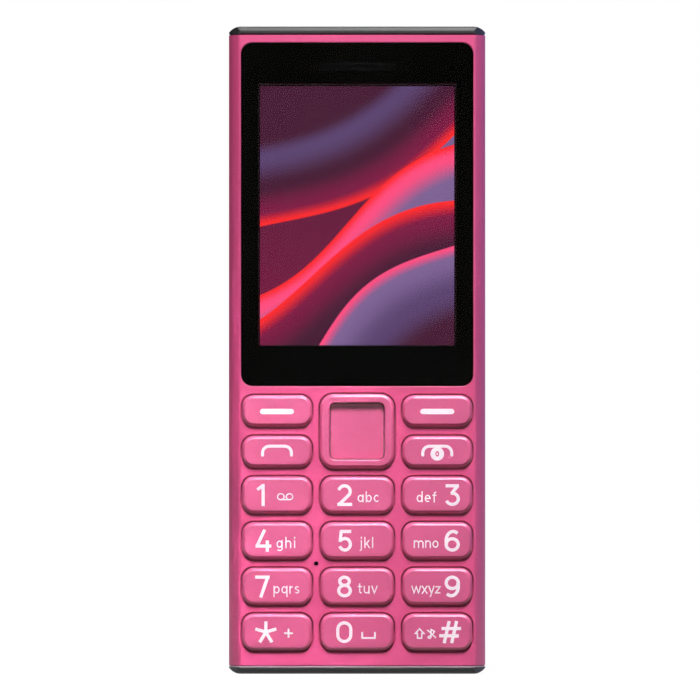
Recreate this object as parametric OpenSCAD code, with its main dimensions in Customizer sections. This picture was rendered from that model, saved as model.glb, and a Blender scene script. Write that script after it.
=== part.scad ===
// Feature phone, standing upright with its screen facing -Y.
// X runs across the front, Y runs from the front to the back, Z runs up the length.
// Every depth below is measured back from the flat front face of the front cover.

/* [Keypad] */
// Width of a key opening in the two outer columns
side_key_w = 13.65; // [12.5:0.05:15]
// Width of a key opening in the middle column
mid_key_w = 14.3; // [13:0.05:15.5]
// Height of a number key opening
number_key_h = 7.46; // [6.8:0.02:9]
// Height of a soft, call or end key opening
function_key_h = 6.42; // [6:0.02:8]
// Corner radius of a key opening
key_corner_r = 2.5; // [1.6:0.1:2.9]
// Strip of cover between two columns of keys
column_web = 1.11; // [1:0.01:2]
// Strip of cover between two rows of number keys
row_web = 1.14; // [1:0.01:2]
// Strip of cover around the call and end keys
function_web = 1.24; // [1:0.01:2]
// Strip of cover between the soft keys and the window
brow_web = 1.4; // [1.3:0.02:3]
// Strip of cover below the lowest keys, cap included
foot_margin = 4.15; // [4:0.05:8]
// Strip of cover outside the outer keys
side_margin = 2.25; // [2.2:0.05:4]

/* [Keys] */
// Height of the keys above the front face
key_rise = 0.75; // [0.4:0.05:1.2]
// Gap around a key in its opening
key_gap = 0.25; // [0.2:0.01:0.35]
// How far the bevel round a key goes in
key_bevel_in = 0.6; // [0.2:0.05:0.8]
// How far the bevel round a key goes down
key_bevel_d = 0.65; // [0.2:0.05:0.8]
// Bulge radius of the bevel round a key
key_bevel_r = 1.1; // [0.7:0.05:3]
// Chamfer round a key opening
opening_chamfer = 0.12; // [0.05:0.01:0.2]
// Thickness of the flange that keeps a key in
flange_t = 0.5; // [0.3:0.05:0.6]
// How far a flange reaches past its opening
flange_out = 0.3; // [0.2:0.02:0.4]
// Play between a flange and the cover
flange_gap = 0.05; // [0.03:0.01:0.1]

/* [Direction pad] */
// Side of the square opening for the direction pad
pad_w = 14.5; // [13.5:0.1:14.8]
// Corner radius of the direction pad's opening
pad_corner_r = 2.85; // [2:0.05:4]
// Width of the recess in the direction ring
recess_w = 10.3; // [9:0.1:11]
// Height of the recess in the direction ring
recess_h = 10.7; // [9:0.1:11]
// Corner radius of the recess
recess_corner_r = 1.1; // [0.7:0.05:2]
// Chamfer round the recess
recess_chamfer = 0.2; // [0.1:0.05:0.6]
// How far the select key lies below the top of the ring
recess_depth = 0.95; // [0.2:0.05:1]
// Gap between the select key and the ring
select_gap = 0.16; // [0.14:0.01:0.25]
// Tilt of the direction ring to each side, in degrees
ring_tilt = 2; // [1:0.1:2.2]
// How far the direction ring stands above the keys
ring_rise = 0.05; // [0.03:0.01:0.3]
// Radius of the ridges that the direction pad rocks on
ridge_r = 0.45; // [0.4:0.01:0.6]
// Thickness of the direction ring's flange
ring_flange_t = 0.4; // [0.3:0.02:0.5]
// Thickness of the rocker plate
rocker_t = 0.4; // [0.3:0.02:0.45]
// Side of the rocker plate
rocker_w = 11.6; // [10:0.1:12]
// Depth of the select plate's back
select_back_d = 1; // [0.7:0.05:1.2]
// Radius of the select key's stem
stem_r = 1.8; // [1.2:0.1:2.2]

/* [Covers] */
// How far the bevel along the front edges goes in
edge_in = 2.05; // [1.6:0.05:2.2]
// How far back the bevel along the front edges goes
edge_d = 3.6; // [2.4:0.1:4.5]
// Bulge radius of the bevel along the front edges
edge_bulge_r = 7; // [4:0.1:12]
// Width of the narrow facet between the front and the bevel
facet_in = 0.16; // [0.1:0.02:0.4]
// Depth of that facet
facet_d = 0.2; // [0.1:0.02:0.4]
// Rear edge radius of the body
rear_edge_r = 3.4; // [1.8:0.1:4]
// Side wall of the front cover
side_wall = 1.6; // [1.2:0.05:1.8]
// Front wall of the front cover
front_wall = 1.3; // [1.2:0.05:1.6]
// Inner edge radius of the front cover
inner_edge_r = 0.3; // [0.1:0.05:0.35]
// Wall of the battery cover
cover_wall = 1.2; // [0.8:0.05:1.5]
// Depth of the seam between the two covers
seam_d = 5.6; // [5:0.1:7]
// Width of that seam
seam_gap = 0.12; // [0.05:0.01:0.3]
// Play between the battery cover and the chassis behind it
cover_gap = 0.15; // [0.1:0.01:0.3]

/* [End caps] */
// Height of an end cap
cap_t = 1.5; // [1.4:0.05:2.5]
// How far the bevel along a cap's front and back goes in
cap_bevel_in = 1; // [0.5:0.05:1.6]
// How far the bevel along a cap's front and back goes up
cap_bevel_up = 0.9; // [0.4:0.05:1]
// Bulge radius of the bevel along a cap's front and back
cap_bevel_r = 1.2; // [1.2:0.05:8]
// How far the bevel at a cap's corners goes in
cap_corner_in = 2.4; // [1:0.05:3]
// How far the bevel at a cap's corners goes up
cap_corner_up = 1.1; // [0.6:0.05:1.15]
// Bulge radius of the bevel at a cap's corners
cap_corner_r = 3; // [2:0.1:8]
// Chamfer on a cap where it meets the covers
cap_lip = 0.24; // [0.05:0.01:0.25]
// Shadow gap between a cap and the covers
cap_gap = 0.1; // [0.05:0.01:0.2]
// How far a cap's plug reaches into the covers
plug_l = 1.2; // [0.8:0.1:1.4]
// Play between a plug and the covers
plug_gap = 0.15; // [0.1:0.01:0.3]

/* [Window] */
// Strip of cover beside the window
window_side = 2.22; // [2.2:0.02:3.5]
// Height of the window
window_h = 64.8; // [64:0.02:68]
// Corner radius of the window
window_r = 2.2; // [1:0.1:3]
// Distance from the top of the phone to the window
window_top_gap = 2.99; // [2.8:0.01:5]
// Chamfer round the window's pocket
window_chamfer = 0.08; // [0.05:0.01:0.3]
// Gap around the window lens
lens_gap = 0.08; // [0.05:0.01:0.2]
// How far the lens lies below the front face
lens_recess = 0.05; // [0:0.01:0.2]
// Thickness of the window lens
lens_t = 0.9; // [0.7:0.05:1.2]
// Chamfer round the front of the lens
lens_chamfer = 0.12; // [0.05:0.01:0.2]
// Thickness of the black print behind the lens
mask_t = 0.05; // [0.03:0.01:0.1]
// Thickness of the adhesive frame
tape_t = 0.1; // [0.05:0.01:0.2]
// Room left behind the adhesive frame
tape_gap = 0.01; // [0.005:0.005:0.03]
// Width of the adhesive frame
tape_w = 1.6; // [1:0.1:2]
// Thickness of the ledge that carries the window
ledge_t = 0.7; // [0.5:0.05:1]
// How far the ledge reaches past the window
ledge_out = 0.5; // [0.3:0.05:0.6]

/* [Display] */
// Width of the picture area
screen_w = 36.72; // [35:0.02:37.5]
// Height of the picture area
screen_h = 48.96; // [47:0.02:50]
// Distance from the window's top to the picture area
screen_drop = 8.1; // [7.6:0.05:9]
// Margin of the black print round the picture area
mask_margin = 0.25; // [0.1:0.05:0.5]
// Glass beside the picture area
panel_side = 1.85; // [1.3:0.05:2.2]
// Glass above the picture area
panel_top = 2; // [1.3:0.05:2.4]
// Driver foot of the glass below the picture area
panel_foot = 5.4; // [4.5:0.05:6]
// Thickness of each glass sheet
glass_t = 0.6; // [0.4:0.05:0.7]
// Thickness of the backlight frame
backlight_t = 0.9; // [0.6:0.05:1.2]
// Thickness of the foam gasket
gasket_t = 0.3; // [0.2:0.02:0.5]
// Width of the foam gasket
gasket_w = 1; // [0.6:0.05:1.2]
// Width of the display's ribbon
ribbon_w = 14; // [8:0.5:20]
// Thickness of the display's ribbon
ribbon_t = 0.12; // [0.1:0.01:0.2]
// Length of the ribbon's leg behind the backlight
ribbon_l = 10; // [6:0.5:16]

/* [Board and keypad layers] */
// Room between the backlight and the board
board_gap = 0.3; // [0.2:0.02:0.6]
// Thickness of the board
board_t = 0.8; // [0.6:0.05:1.2]
// Gap round the board and the key mat
board_side_gap = 0.35; // [0.3:0.05:0.6]
// Corner radius of the board
board_corner_r = 1.2; // [0.5:0.1:3]
// Corner radius of the key mat and the dome film
mat_corner_r = 2; // [0.5:0.1:4]
// Thickness of the key mat
mat_t = 0.35; // [0.3:0.01:0.45]
// Radius of a pip under the key mat
pip_r = 1; // [0.8:0.05:1.4]
// Air between a pip and its dome
pip_gap = 0.05; // [0.03:0.01:0.1]
// Radius of a metal dome
dome_r = 2; // [1.6:0.05:2.2]
// Height of a metal dome
dome_h = 0.3; // [0.2:0.02:0.35]
// Sheet thickness of a metal dome
dome_t = 0.08; // [0.06:0.01:0.12]
// Thickness of the dome film
film_t = 0.1; // [0.06:0.01:0.15]
// Distance of the direction domes from the middle of the pad
dome_ring = 5.2; // [4.6:0.1:5.6]
// Height of the parts on the back of the board
component_h = 1.4; // [1.2:0.05:2.2]

/* [Chassis and battery] */
// Play between the chassis and the front cover
chassis_gap = 0.2; // [0.15:0.01:0.4]
// Outer wall of the chassis
chassis_wall = 1; // [0.8:0.05:1.3]
// Floor of the battery bay
floor_t = 0.8; // [0.6:0.05:1.2]
// Wall between the battery bay and the side pockets
bay_wall = 1; // [0.8:0.05:1.4]
// Thickness of the upper deck
deck_t = 1; // [0.7:0.05:1.3]
// Distance from the bottom of the phone to the battery
battery_z = 16; // [15.6:0.1:20]
// Width of the battery
battery_w = 34; // [30:0.1:36]
// Length of the battery
battery_l = 53.5; // [45:0.1:56]
// Thickness of the battery
battery_t = 4.6; // [4:0.1:6]
// Edge radius of the battery
battery_r = 1.6; // [0.8:0.1:2]
// Play round the battery
battery_gap = 0.15; // [0.1:0.01:0.3]
// Radius of the finger notch beside the battery
notch_r = 5; // [3:0.1:6]

/* [Sound] */
// Width of the earpiece slot
ear_slot_w = 14.2; // [10:0.1:16]
// Height of the earpiece slot
ear_slot_h = 1.5; // [1:0.05:2]
// Distance from the window's top to the earpiece slot
ear_drop = 4.45; // [4:0.05:4.6]
// Width of the earpiece receiver
receiver_w = 15.4; // [12:0.1:18]
// Height of the earpiece receiver
receiver_h = 4.6; // [4:0.1:4.8]
// Thickness of the earpiece receiver
receiver_t = 2.2; // [1.6:0.1:2.4]
// Radius of the microphone hole
mic_hole_r = 0.42; // [0.3:0.02:0.5]
// Outer radius of the microphone boot
mic_boot_r = 1.15; // [0.9:0.05:1.2]
// Width of the microphone
mic_w = 3.8; // [3:0.1:4]
// Length of the microphone
mic_l = 3; // [2.4:0.1:3.4]
// Height of the microphone
mic_h = 0.9; // [0.6:0.05:0.95]
// Width of the loudspeaker
speaker_w = 18; // [14:0.5:20]
// Height of the loudspeaker
speaker_h = 13; // [10:0.5:14]
// Thickness of the loudspeaker
speaker_t = 3.2; // [2.4:0.1:3.4]
// Distance from the top of the phone to the loudspeaker's middle
speaker_drop = 38; // [36:0.5:41]
// Number of loudspeaker slots in the battery cover
speaker_slots = 5; // [3:1:7]
// Length of a loudspeaker slot
speaker_slot_l = 9; // [6:0.5:12]
// Width of a loudspeaker slot
speaker_slot_w = 0.9; // [0.7:0.05:1.2]
// Spacing of the loudspeaker slots
speaker_slot_pitch = 1.9; // [1.7:0.05:2.1]
// Thickness of the loudspeaker mesh
speaker_mesh_t = 0.1; // [0.06:0.01:0.14]
// Radius of the vibration motor
motor_r = 4; // [3.5:0.1:5]
// Distance of the vibration motor from the middle
motor_side = 14.5; // [11:0.1:16]
// Thickness of the vibration motor
motor_t = 2.7; // [2:0.1:3.2]

/* [Camera] */
// Distance from the top of the phone to the camera
camera_drop = 13; // [11:0.5:16]
// Outer radius of the camera bezel
bezel_r = 4.6; // [4:0.1:6]
// Radius of the camera window
camera_window_r = 3.6; // [2.5:0.1:3.8]
// Thickness of the camera window
camera_window_t = 0.6; // [0.4:0.05:0.8]
// How far the bezel lies below the back
bezel_recess = 0.1; // [0.05:0.01:0.3]
// Height of the bezel's flange under the cover
bezel_flange_t = 0.3; // [0.2:0.02:0.5]
// Side of the camera module
camera_w = 6.4; // [5.5:0.1:7]
// Distance from the camera down to the flash
flash_drop = 9; // [8.5:0.1:11]
// Radius of the flash lens
flash_r = 1.8; // [1.2:0.1:2.2]
// Gap round the bezel and the flash lens in the cover
camera_gap = 0.2; // [0.15:0.01:0.4]

/* [Connectors] */
// Width of the charging socket
usb_w = 8.94; // [8.5:0.02:9.2]
// Height of the charging socket
usb_h = 3.16; // [3:0.02:3.4]
// Length of the charging socket
usb_l = 7.4; // [6:0.1:9]
// Shell thickness of the charging socket
usb_shell = 0.3; // [0.2:0.02:0.4]
// How far the connectors lie below the ends
port_recess = 0.3; // [0.2:0.05:0.6]
// Gap round the connectors in the caps
port_gap = 0.15; // [0.1:0.01:0.3]
// Distance of the headphone socket from the middle
jack_x = 12.5; // [11:0.1:13.5]
// Bore radius of the headphone socket
jack_bore_r = 1.8; // [1.78:0.01:1.9]
// Depth of the headphone socket's bore
jack_depth = 14; // [12:0.1:15]
// Outer radius of the headphone socket's nose
jack_nose_r = 2.6; // [2.4:0.05:2.65]
// Width of the headphone socket
jack_w = 6; // [5.6:0.1:7]
// Wall at the blind end of the headphone socket
jack_end = 0.8; // [0.5:0.1:1.2]
// Side of a SIM socket
sim_w = 14.6; // [13:0.1:15.6]
// Height of a SIM socket
sim_h = 12.4; // [11:0.1:14]
// Distance between the two SIM sockets' middles
sim_pitch = 16.6; // [16:0.1:17.2]
// Width of the memory card socket
card_w = 14; // [12:0.1:15]
// Height of the memory card socket
card_h = 13; // [11:0.1:14]
// Thickness of the card sockets
socket_t = 1.2; // [0.9:0.05:1.2]
// Sheet thickness of the card sockets and shields
sheet_t = 0.2; // [0.15:0.01:0.25]
// Height of the battery contact block
contact_h = 2; // [1.4:0.1:2.4]
// Spacing of the battery contacts
contact_pitch = 3; // [2.5:0.1:3.5]

/* [Screws] */
// Radius of a screw's shank
screw_r = 0.7; // [0.6:0.02:0.75]
// Radius of a screw's head
screw_head_r = 1.3; // [1.1:0.05:1.4]
// Height of a screw's head
screw_head_h = 0.6; // [0.4:0.05:0.8]
// Radius of a boss in the front cover
boss_r = 1.25; // [1.2:0.01:1.3]
// Play between a screw and its holes
screw_gap = 0.04; // [0.02:0.01:0.06]
// Distance of the upper screws from the middle
upper_screw_x = 19.8; // [19.4:0.1:20.2]
// Distance from the top of the phone to the upper screws
upper_screw_drop = 6; // [5.6:0.1:6.4]

/* [Hidden] */
$fn = 48;

pink = "#e66f9e";
grey = "#77787b";
black = "#101012";
rubber = "#d8d8d4";
steel = "#b9bcc0";
green = "#1f5a3a";
gold = "#c9a24a";

// Rows and columns of keys
column_x = (mid_key_w + side_key_w) / 2 + column_web;
row_pitch = number_key_h + row_web;
function row_z(row) = foot_margin + number_key_h / 2 + row * row_pitch;
call_z = row_z(3) + (number_key_h + function_key_h) / 2 + function_web;
soft_z = call_z + function_key_h + function_web;
pad_z = (call_z + soft_z) / 2;
crossing_x = (mid_key_w + column_web) / 2;

// Name, place across, place up, opening width and opening height of each key
KEYS = [
  ["key_soft_left", -column_x, soft_z, side_key_w, function_key_h],
  ["key_soft_right", column_x, soft_z, side_key_w, function_key_h],
  ["key_call", -column_x, call_z, side_key_w, function_key_h],
  ["key_end", column_x, call_z, side_key_w, function_key_h],
  ["key_1", -column_x, row_z(3), side_key_w, number_key_h],
  ["key_2", 0, row_z(3), mid_key_w, number_key_h],
  ["key_3", column_x, row_z(3), side_key_w, number_key_h],
  ["key_4", -column_x, row_z(2), side_key_w, number_key_h],
  ["key_5", 0, row_z(2), mid_key_w, number_key_h],
  ["key_6", column_x, row_z(2), side_key_w, number_key_h],
  ["key_7", -column_x, row_z(1), side_key_w, number_key_h],
  ["key_8", 0, row_z(1), mid_key_w, number_key_h],
  ["key_9", column_x, row_z(1), side_key_w, number_key_h],
  ["key_star", -column_x, row_z(0), side_key_w, number_key_h],
  ["key_0", 0, row_z(0), mid_key_w, number_key_h],
  ["key_hash", column_x, row_z(0), side_key_w, number_key_h]
];

// Body and window; the window moves up where the foot of the display would reach the key mat
ribbon_fold_r = glass_t / 2 + backlight_t / 2 + ribbon_t;
panel_w = screen_w + 2 * panel_side;
keypad_half_w = column_x + side_key_w / 2 + side_margin;
display_half_w = panel_w / 2 + board_side_gap + side_wall;
body_w = 2 * max(keypad_half_w, display_half_w);
window_w = body_w - 2 * window_side;
mat_z1 = max(soft_z + function_key_h / 2, pad_z + pad_w / 2) + flange_out;
display_lift = window_h - screen_drop - screen_h - panel_foot;
window_z0 = max(soft_z + function_key_h / 2 + brow_web, mat_z1 + ribbon_fold_r + plug_gap - display_lift);
window_z1 = window_z0 + window_h;
window_mid = (window_z0 + window_z1) / 2;
body_l = window_z1 + window_top_gap;
front_in_w = body_w - 2 * side_wall;
rear_in_w = body_w - 2 * cover_wall;
cover_z0 = cap_t + cap_gap;
cover_l = body_l - 2 * cover_z0;
inner_z0 = cap_t + plug_l + plug_gap;
inner_l = body_l - 2 * inner_z0;
mid_z = body_l / 2;

// Depths, from the front face to the back
mask_d = lens_recess + lens_t;
tape_d = mask_d + mask_t;
ledge_d = tape_d + tape_t;
ledge_back = ledge_d + ledge_t;
panel_d = ledge_back + gasket_t;
rear_glass_d = panel_d + glass_t;
backlight_d = rear_glass_d + glass_t;
backlight_back = backlight_d + backlight_t;
board_d = backlight_back + board_gap;
board_back = board_d + board_t;
floor_d = board_back + component_h;
bay_d = floor_d + floor_t;
battery_d = bay_d + battery_gap;
battery_back = battery_d + battery_t;
cover_in_d = battery_back + battery_gap;
body_d = cover_in_d + cover_wall;
chassis_back = cover_in_d - cover_gap;
deck_d = chassis_back - deck_t;
ring_top = key_rise + ring_rise;
total_d = body_d + ring_top;
front_y = ring_top - total_d / 2;

// Depths of the keypad layers
flange_d = front_wall + flange_gap;
flange_back = flange_d + flange_t;
pad_reach = pad_w / 2 + flange_out - (pad_corner_r + flange_out) * (1 - cos(45));
ring_flange_d = front_wall + flange_gap + 2 * pad_reach * sin(ring_tilt);
ring_back = ring_flange_d + ring_flange_t;
rocker_axis_d = ring_back + ridge_r;
mat_d = rocker_axis_d + ridge_r;
mat_back = mat_d + mat_t;
dome_top = board_d - dome_h;
mat_z0 = foot_margin - flange_out;

// Display
screen_z1 = window_z1 - screen_drop;
screen_z0 = screen_z1 - screen_h;
screen_mid = (screen_z0 + screen_z1) / 2;
panel_z0 = screen_z0 - panel_foot;
panel_z1 = screen_z1 + panel_top;
ear_z = window_z1 - ear_drop;
receiver_z = panel_z1 + plug_gap + receiver_h / 2;

// Chassis, battery and connectors
chassis_w = front_in_w - 2 * chassis_gap;
board_w = front_in_w - 2 * board_side_gap;
bay_w = battery_w + 2 * battery_gap;
bay_l = battery_l + 2 * battery_gap;
bay_mid = battery_z + battery_l / 2;
bay_top = battery_z + battery_l + battery_gap;
deck_z0 = bay_top + bay_wall;
deck_z1 = inner_z0 + inner_l - chassis_wall;
camera_z = body_l - camera_drop;
flash_z = camera_z - flash_drop;
speaker_z = body_l - speaker_drop;
speaker_d = chassis_back - speaker_t;
bezel_d = body_d - bezel_recess;
usb_d = board_back + usb_h / 2;
jack_d = board_back + jack_nose_r;
jack_l = jack_depth + jack_end - (port_recess + inner_z0);
motor_x = -motor_side;
motor_z = camera_z;
mic_x = -crossing_x;
mic_z = row_z(1) + row_pitch / 2;
sim_z = bay_top - sim_h / 2 - 2 * bay_wall;
card_z = sim_z - sim_h / 2 - card_h / 2 - 2 * bay_wall;
contact_z = battery_z - battery_gap - contact_h / 2;
SCREWS = [
  [-crossing_x, row_z(0) + row_pitch / 2],
  [crossing_x, row_z(0) + row_pitch / 2],
  [-upper_screw_x, body_l - upper_screw_drop],
  [upper_screw_x, body_l - upper_screw_drop]
];
DOMES = concat(
  [for (key = KEYS) [key[1], key[2]]],
  [[0, pad_z]],
  [for (turn = [0:3]) [dome_ring * cos(90 * turn), pad_z + dome_ring * sin(90 * turn)]]
);

// Rectangle with rounded corners
module rounded_rect(w, h, r) {
  square([w - 2 * r, h], center = true);
  square([w, h - 2 * r], center = true);
  for (sx = [-1, 1], sz = [-1, 1])
    translate([sx * (w / 2 - r), sz * (h / 2 - r)])
      circle(r);
}

// Slot with round ends
module slot(w, h) {
  square([w - h, h], center = true);
  for (side = [-1, 1])
    translate([side * (w - h) / 2, 0])
      circle(h / 2);
}

// Moves a flat shape drawn in X and Z to a place on the front, thick from depth d0 to d1
module at_depth(d0, d1, x, z) {
  translate([x, front_y + d1, z])
    rotate([90, 0, 0])
      linear_extrude(d1 - d0)
        children();
}

// Flat plate with rounded corners, parallel to the front
module slab(w, h, r, d0, d1, x = 0, z = 0) {
  at_depth(d0, d1, x, z)
    rounded_rect(w, h, r);
}

// Round rod running from depth d0 to d1
module rod(r, d0, d1, x = 0, z = 0) {
  at_depth(d0, d1, x, z)
    circle(r);
}

// Cut with round ends, running from depth d0 to d1
module slot_cut(w, h, d0, d1, x, z) {
  at_depth(d0, d1, x, z)
    slot(w, h);
}

// Plate whose rim follows a profile all the way round; the profile starts at the corner's centre
module rimmed(w, h, r, d0, d1, x, z) {
  translate([x, front_y + d1, z])
    rotate([90, 0, 0]) {
      translate([r - w / 2, r - h / 2, 0])
        cube([w - 2 * r, h - 2 * r, d1 - d0]);
      for (turn = [0:3]) {
        across = turn % 2 == 0 ? w : h;
        along = turn % 2 == 0 ? h : w;
        rotate(90 * turn)
          translate([across / 2 - r, along / 2 - r, 0]) {
            rotate([90, 0, 0])
              linear_extrude(along - 2 * r)
                children();
            rotate_extrude(angle = 90)
              children();
          }
      }
    }
}

// Corner whose edge bulges out between two points, one along each axis
module bulged_corner(across, up, bulge_r) {
  chord = norm([across, up]);
  sag = sqrt(pow(bulge_r, 2) - pow(chord / 2, 2));
  intersection() {
    square([across, up]);
    translate([across / 2 - sag * up / chord, up / 2 - sag * across / chord])
      circle(bulge_r);
  }
}

// Rim profile of a key, with a bulging bevel at the front edge
module bevelled_rim(r, t) {
  square([r - key_bevel_in, t]);
  square([r, t - key_bevel_d]);
  translate([r - key_bevel_in, t - key_bevel_d])
    bulged_corner(key_bevel_in, key_bevel_d, key_bevel_r);
}

// Rim profile with a chamfer at the front; a positive chamfer widens it, a negative one narrows it
module flared_rim(r, t, chamfer) {
  polygon([[0, 0], [r, 0], [r, t - abs(chamfer)], [r + chamfer, t], [0, t]]);
}

// Cut for an opening in the front, with a small chamfer at the front face
module front_opening(w, h, r, d1, x, z, chamfer = opening_chamfer) {
  rimmed(w, h, r, 0, d1, x, z)
    flared_rim(r, d1, chamfer);
}

// Section across the body, with one radius at its front edges and one at its back edges
module body_section(w, d0, d1, front_r, back_r) {
  translate([0, front_y]) {
    if (front_r > 0) {
      translate([front_r - w / 2, d0])
        square([w - 2 * front_r, front_r]);
      for (side = [-1, 1])
        translate([side * (w / 2 - front_r), d0 + front_r])
          circle(front_r);
    }
    translate([-w / 2, d0 + front_r])
      square([w, d1 - d0 - front_r - back_r]);
    translate([back_r - w / 2, d1 - back_r])
      square([w - 2 * back_r, back_r]);
    for (side = [-1, 1])
      translate([side * (w / 2 - back_r), d1 - back_r])
        circle(back_r);
  }
}

// Outer section of the body, with bulging bevels and narrow facets along its front edges
module shell_section() {
  edge_x = body_w / 2 - edge_in;
  chord = norm([edge_in, edge_d]);
  sag = sqrt(pow(edge_bulge_r, 2) - pow(chord / 2, 2));
  centre_x = edge_x + edge_in / 2 - sag * edge_d / chord;
  centre_d = edge_d / 2 + sag * edge_in / chord;
  facet_x = centre_x + sqrt(pow(edge_bulge_r, 2) - pow(centre_d - facet_d, 2));
  translate([0, front_y])
    difference() {
      union() {
        translate([-edge_x, 0])
          square([2 * edge_x, edge_d]);
        translate([0, -front_y])
          body_section(body_w, edge_d, body_d, 0, rear_edge_r);
        for (side = [0, 1])
          mirror([side, 0])
            translate([edge_x, edge_d])
              mirror([0, 1])
                bulged_corner(edge_in, edge_d, edge_bulge_r);
      }
      for (side = [-1, 1])
        polygon([
          [side * (edge_x - facet_in), 0], [side * facet_x, facet_d], [side * body_w, facet_d],
          [side * body_w, -facet_d], [side * (edge_x - facet_in), -facet_d]
        ]);
    }
}

// Part of a section that lies between two depths
module between_depths(d0, d1) {
  intersection() {
    children();
    translate([-body_w, front_y + d0])
      square([2 * body_w, d1 - d0]);
  }
}

// Pink front cover: a channel with the window ledge, key openings and screw bosses
module front_cover() {
  color(pink)
    difference() {
      union() {
        translate([0, 0, cover_z0])
          linear_extrude(cover_l)
            difference() {
              between_depths(0, seam_d)
                shell_section();
              body_section(front_in_w, front_wall, 2 * body_d, inner_edge_r, rear_edge_r);
            }
        slab(front_in_w + side_wall / 4, window_h + 2 * ledge_out, window_r, ledge_d, ledge_back,
          0, window_mid);
        for (screw = SCREWS)
          rod(boss_r, front_wall / 2, board_d, screw[0], screw[1]);
      }
      front_opening(window_w, window_h, window_r, ledge_d, 0, window_mid, window_chamfer);
      slab(screen_w + 2 * mask_margin, screen_h + 2 * mask_margin, mask_margin, 0, panel_d, 0, screen_mid);
      slot_cut(ear_slot_w, ear_slot_h, 0, panel_d, 0, ear_z);
      for (key = KEYS)
        front_opening(key[3], key[4], key_corner_r, mat_d, key[1], key[2]);
      front_opening(pad_w, pad_w, pad_corner_r, mat_d, 0, pad_z);
      rod(mic_hole_r, -key_rise, mat_d, mic_x, mic_z);
      for (screw = SCREWS)
        rod(screw_r + screw_gap, ledge_back, board_d, screw[0], screw[1]);
    }
}

// Pink battery cover with the camera hole, the loudspeaker slots and the thumbnail notch
module battery_cover() {
  thumb_w = 10;
  color(pink)
    difference() {
      translate([0, 0, cover_z0])
        linear_extrude(cover_l)
          difference() {
            between_depths(seam_d + seam_gap, body_d)
              shell_section();
            body_section(rear_in_w, 0, cover_in_d, 0, rear_edge_r - cover_wall);
          }
      rod(bezel_r + camera_gap, cover_in_d, body_d, 0, camera_z);
      rod(flash_r + camera_gap, cover_in_d, body_d, 0, flash_z);
      for (slot = [0:speaker_slots - 1])
        slot_cut(speaker_slot_l, speaker_slot_w, cover_in_d, body_d,
          0, speaker_z + (slot - (speaker_slots - 1) / 2) * speaker_slot_pitch);
      slot_cut(thumb_w, 2 * cover_wall, body_d - cover_wall / 2, body_d, 0, cover_z0);
    }
}

// Outline of a cap's end plate across a width, bevelled on Z = 0 and chamfered at the seam
module cap_outline(w, bevel_in, bevel_up, bevel_r) {
  translate([bevel_in - w / 2, 0])
    square([w - 2 * bevel_in, cap_t - cap_lip]);
  polygon([
    [-w / 2, bevel_up], [w / 2, bevel_up], [w / 2, cap_t - cap_lip],
    [w / 2 - cap_lip, cap_t], [cap_lip - w / 2, cap_t], [-w / 2, cap_t - cap_lip]
  ]);
  for (side = [0, 1])
    mirror([side, 0])
      translate([w / 2 - bevel_in, bevel_up])
        mirror([0, 1])
          bulged_corner(bevel_in, bevel_up, bevel_r);
}

// End plate of a cap: the body's section with bevels at the front, the back and both sides
module cap_plate() {
  intersection() {
    linear_extrude(cap_t)
      shell_section();
    translate([0, body_d, 0])
      rotate([90, 0, 0])
        linear_extrude(2 * body_d)
          cap_outline(body_w, cap_corner_in, cap_corner_up, cap_corner_r);
    translate([-body_w, front_y + body_d / 2, 0])
      rotate([90, 0, 90])
        linear_extrude(2 * body_w)
          cap_outline(body_d, cap_bevel_in, cap_bevel_up, cap_bevel_r);
  }
}

// Plate with the plug that closes the ends of the covers
module cap() {
  cap_plate();
  translate([0, 0, cap_t])
    linear_extrude(plug_l)
      body_section(front_in_w - 2 * plug_gap, ledge_back + plug_gap, cover_in_d - plug_gap,
        inner_edge_r, rear_edge_r - cover_wall);
}

// Dark grey top cap with the hole for the headphone socket
module top_cap() {
  color(grey)
    difference() {
      translate([0, 0, body_l])
        mirror([0, 0, 1])
          cap();
      translate([jack_x, front_y + jack_d, body_l - inner_z0])
        cylinder(r = jack_nose_r + port_gap, h = inner_z0);
    }
}

// Dark grey bottom cap with the slot for the charging socket
module bottom_cap() {
  color(grey)
    difference() {
      cap();
      translate([0, front_y + usb_d, 0])
        linear_extrude(inner_z0)
          rounded_rect(usb_w + 2 * port_gap, usb_h + 2 * port_gap, usb_h / 2);
    }
}

// Outline of the chassis, from the board to the battery cover
module chassis_block() {
  translate([0, 0, inner_z0])
    linear_extrude(inner_l)
      between_depths(board_back, chassis_back)
        body_section(chassis_w, 0, chassis_back, inner_edge_r, rear_edge_r - cover_wall);
}

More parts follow.
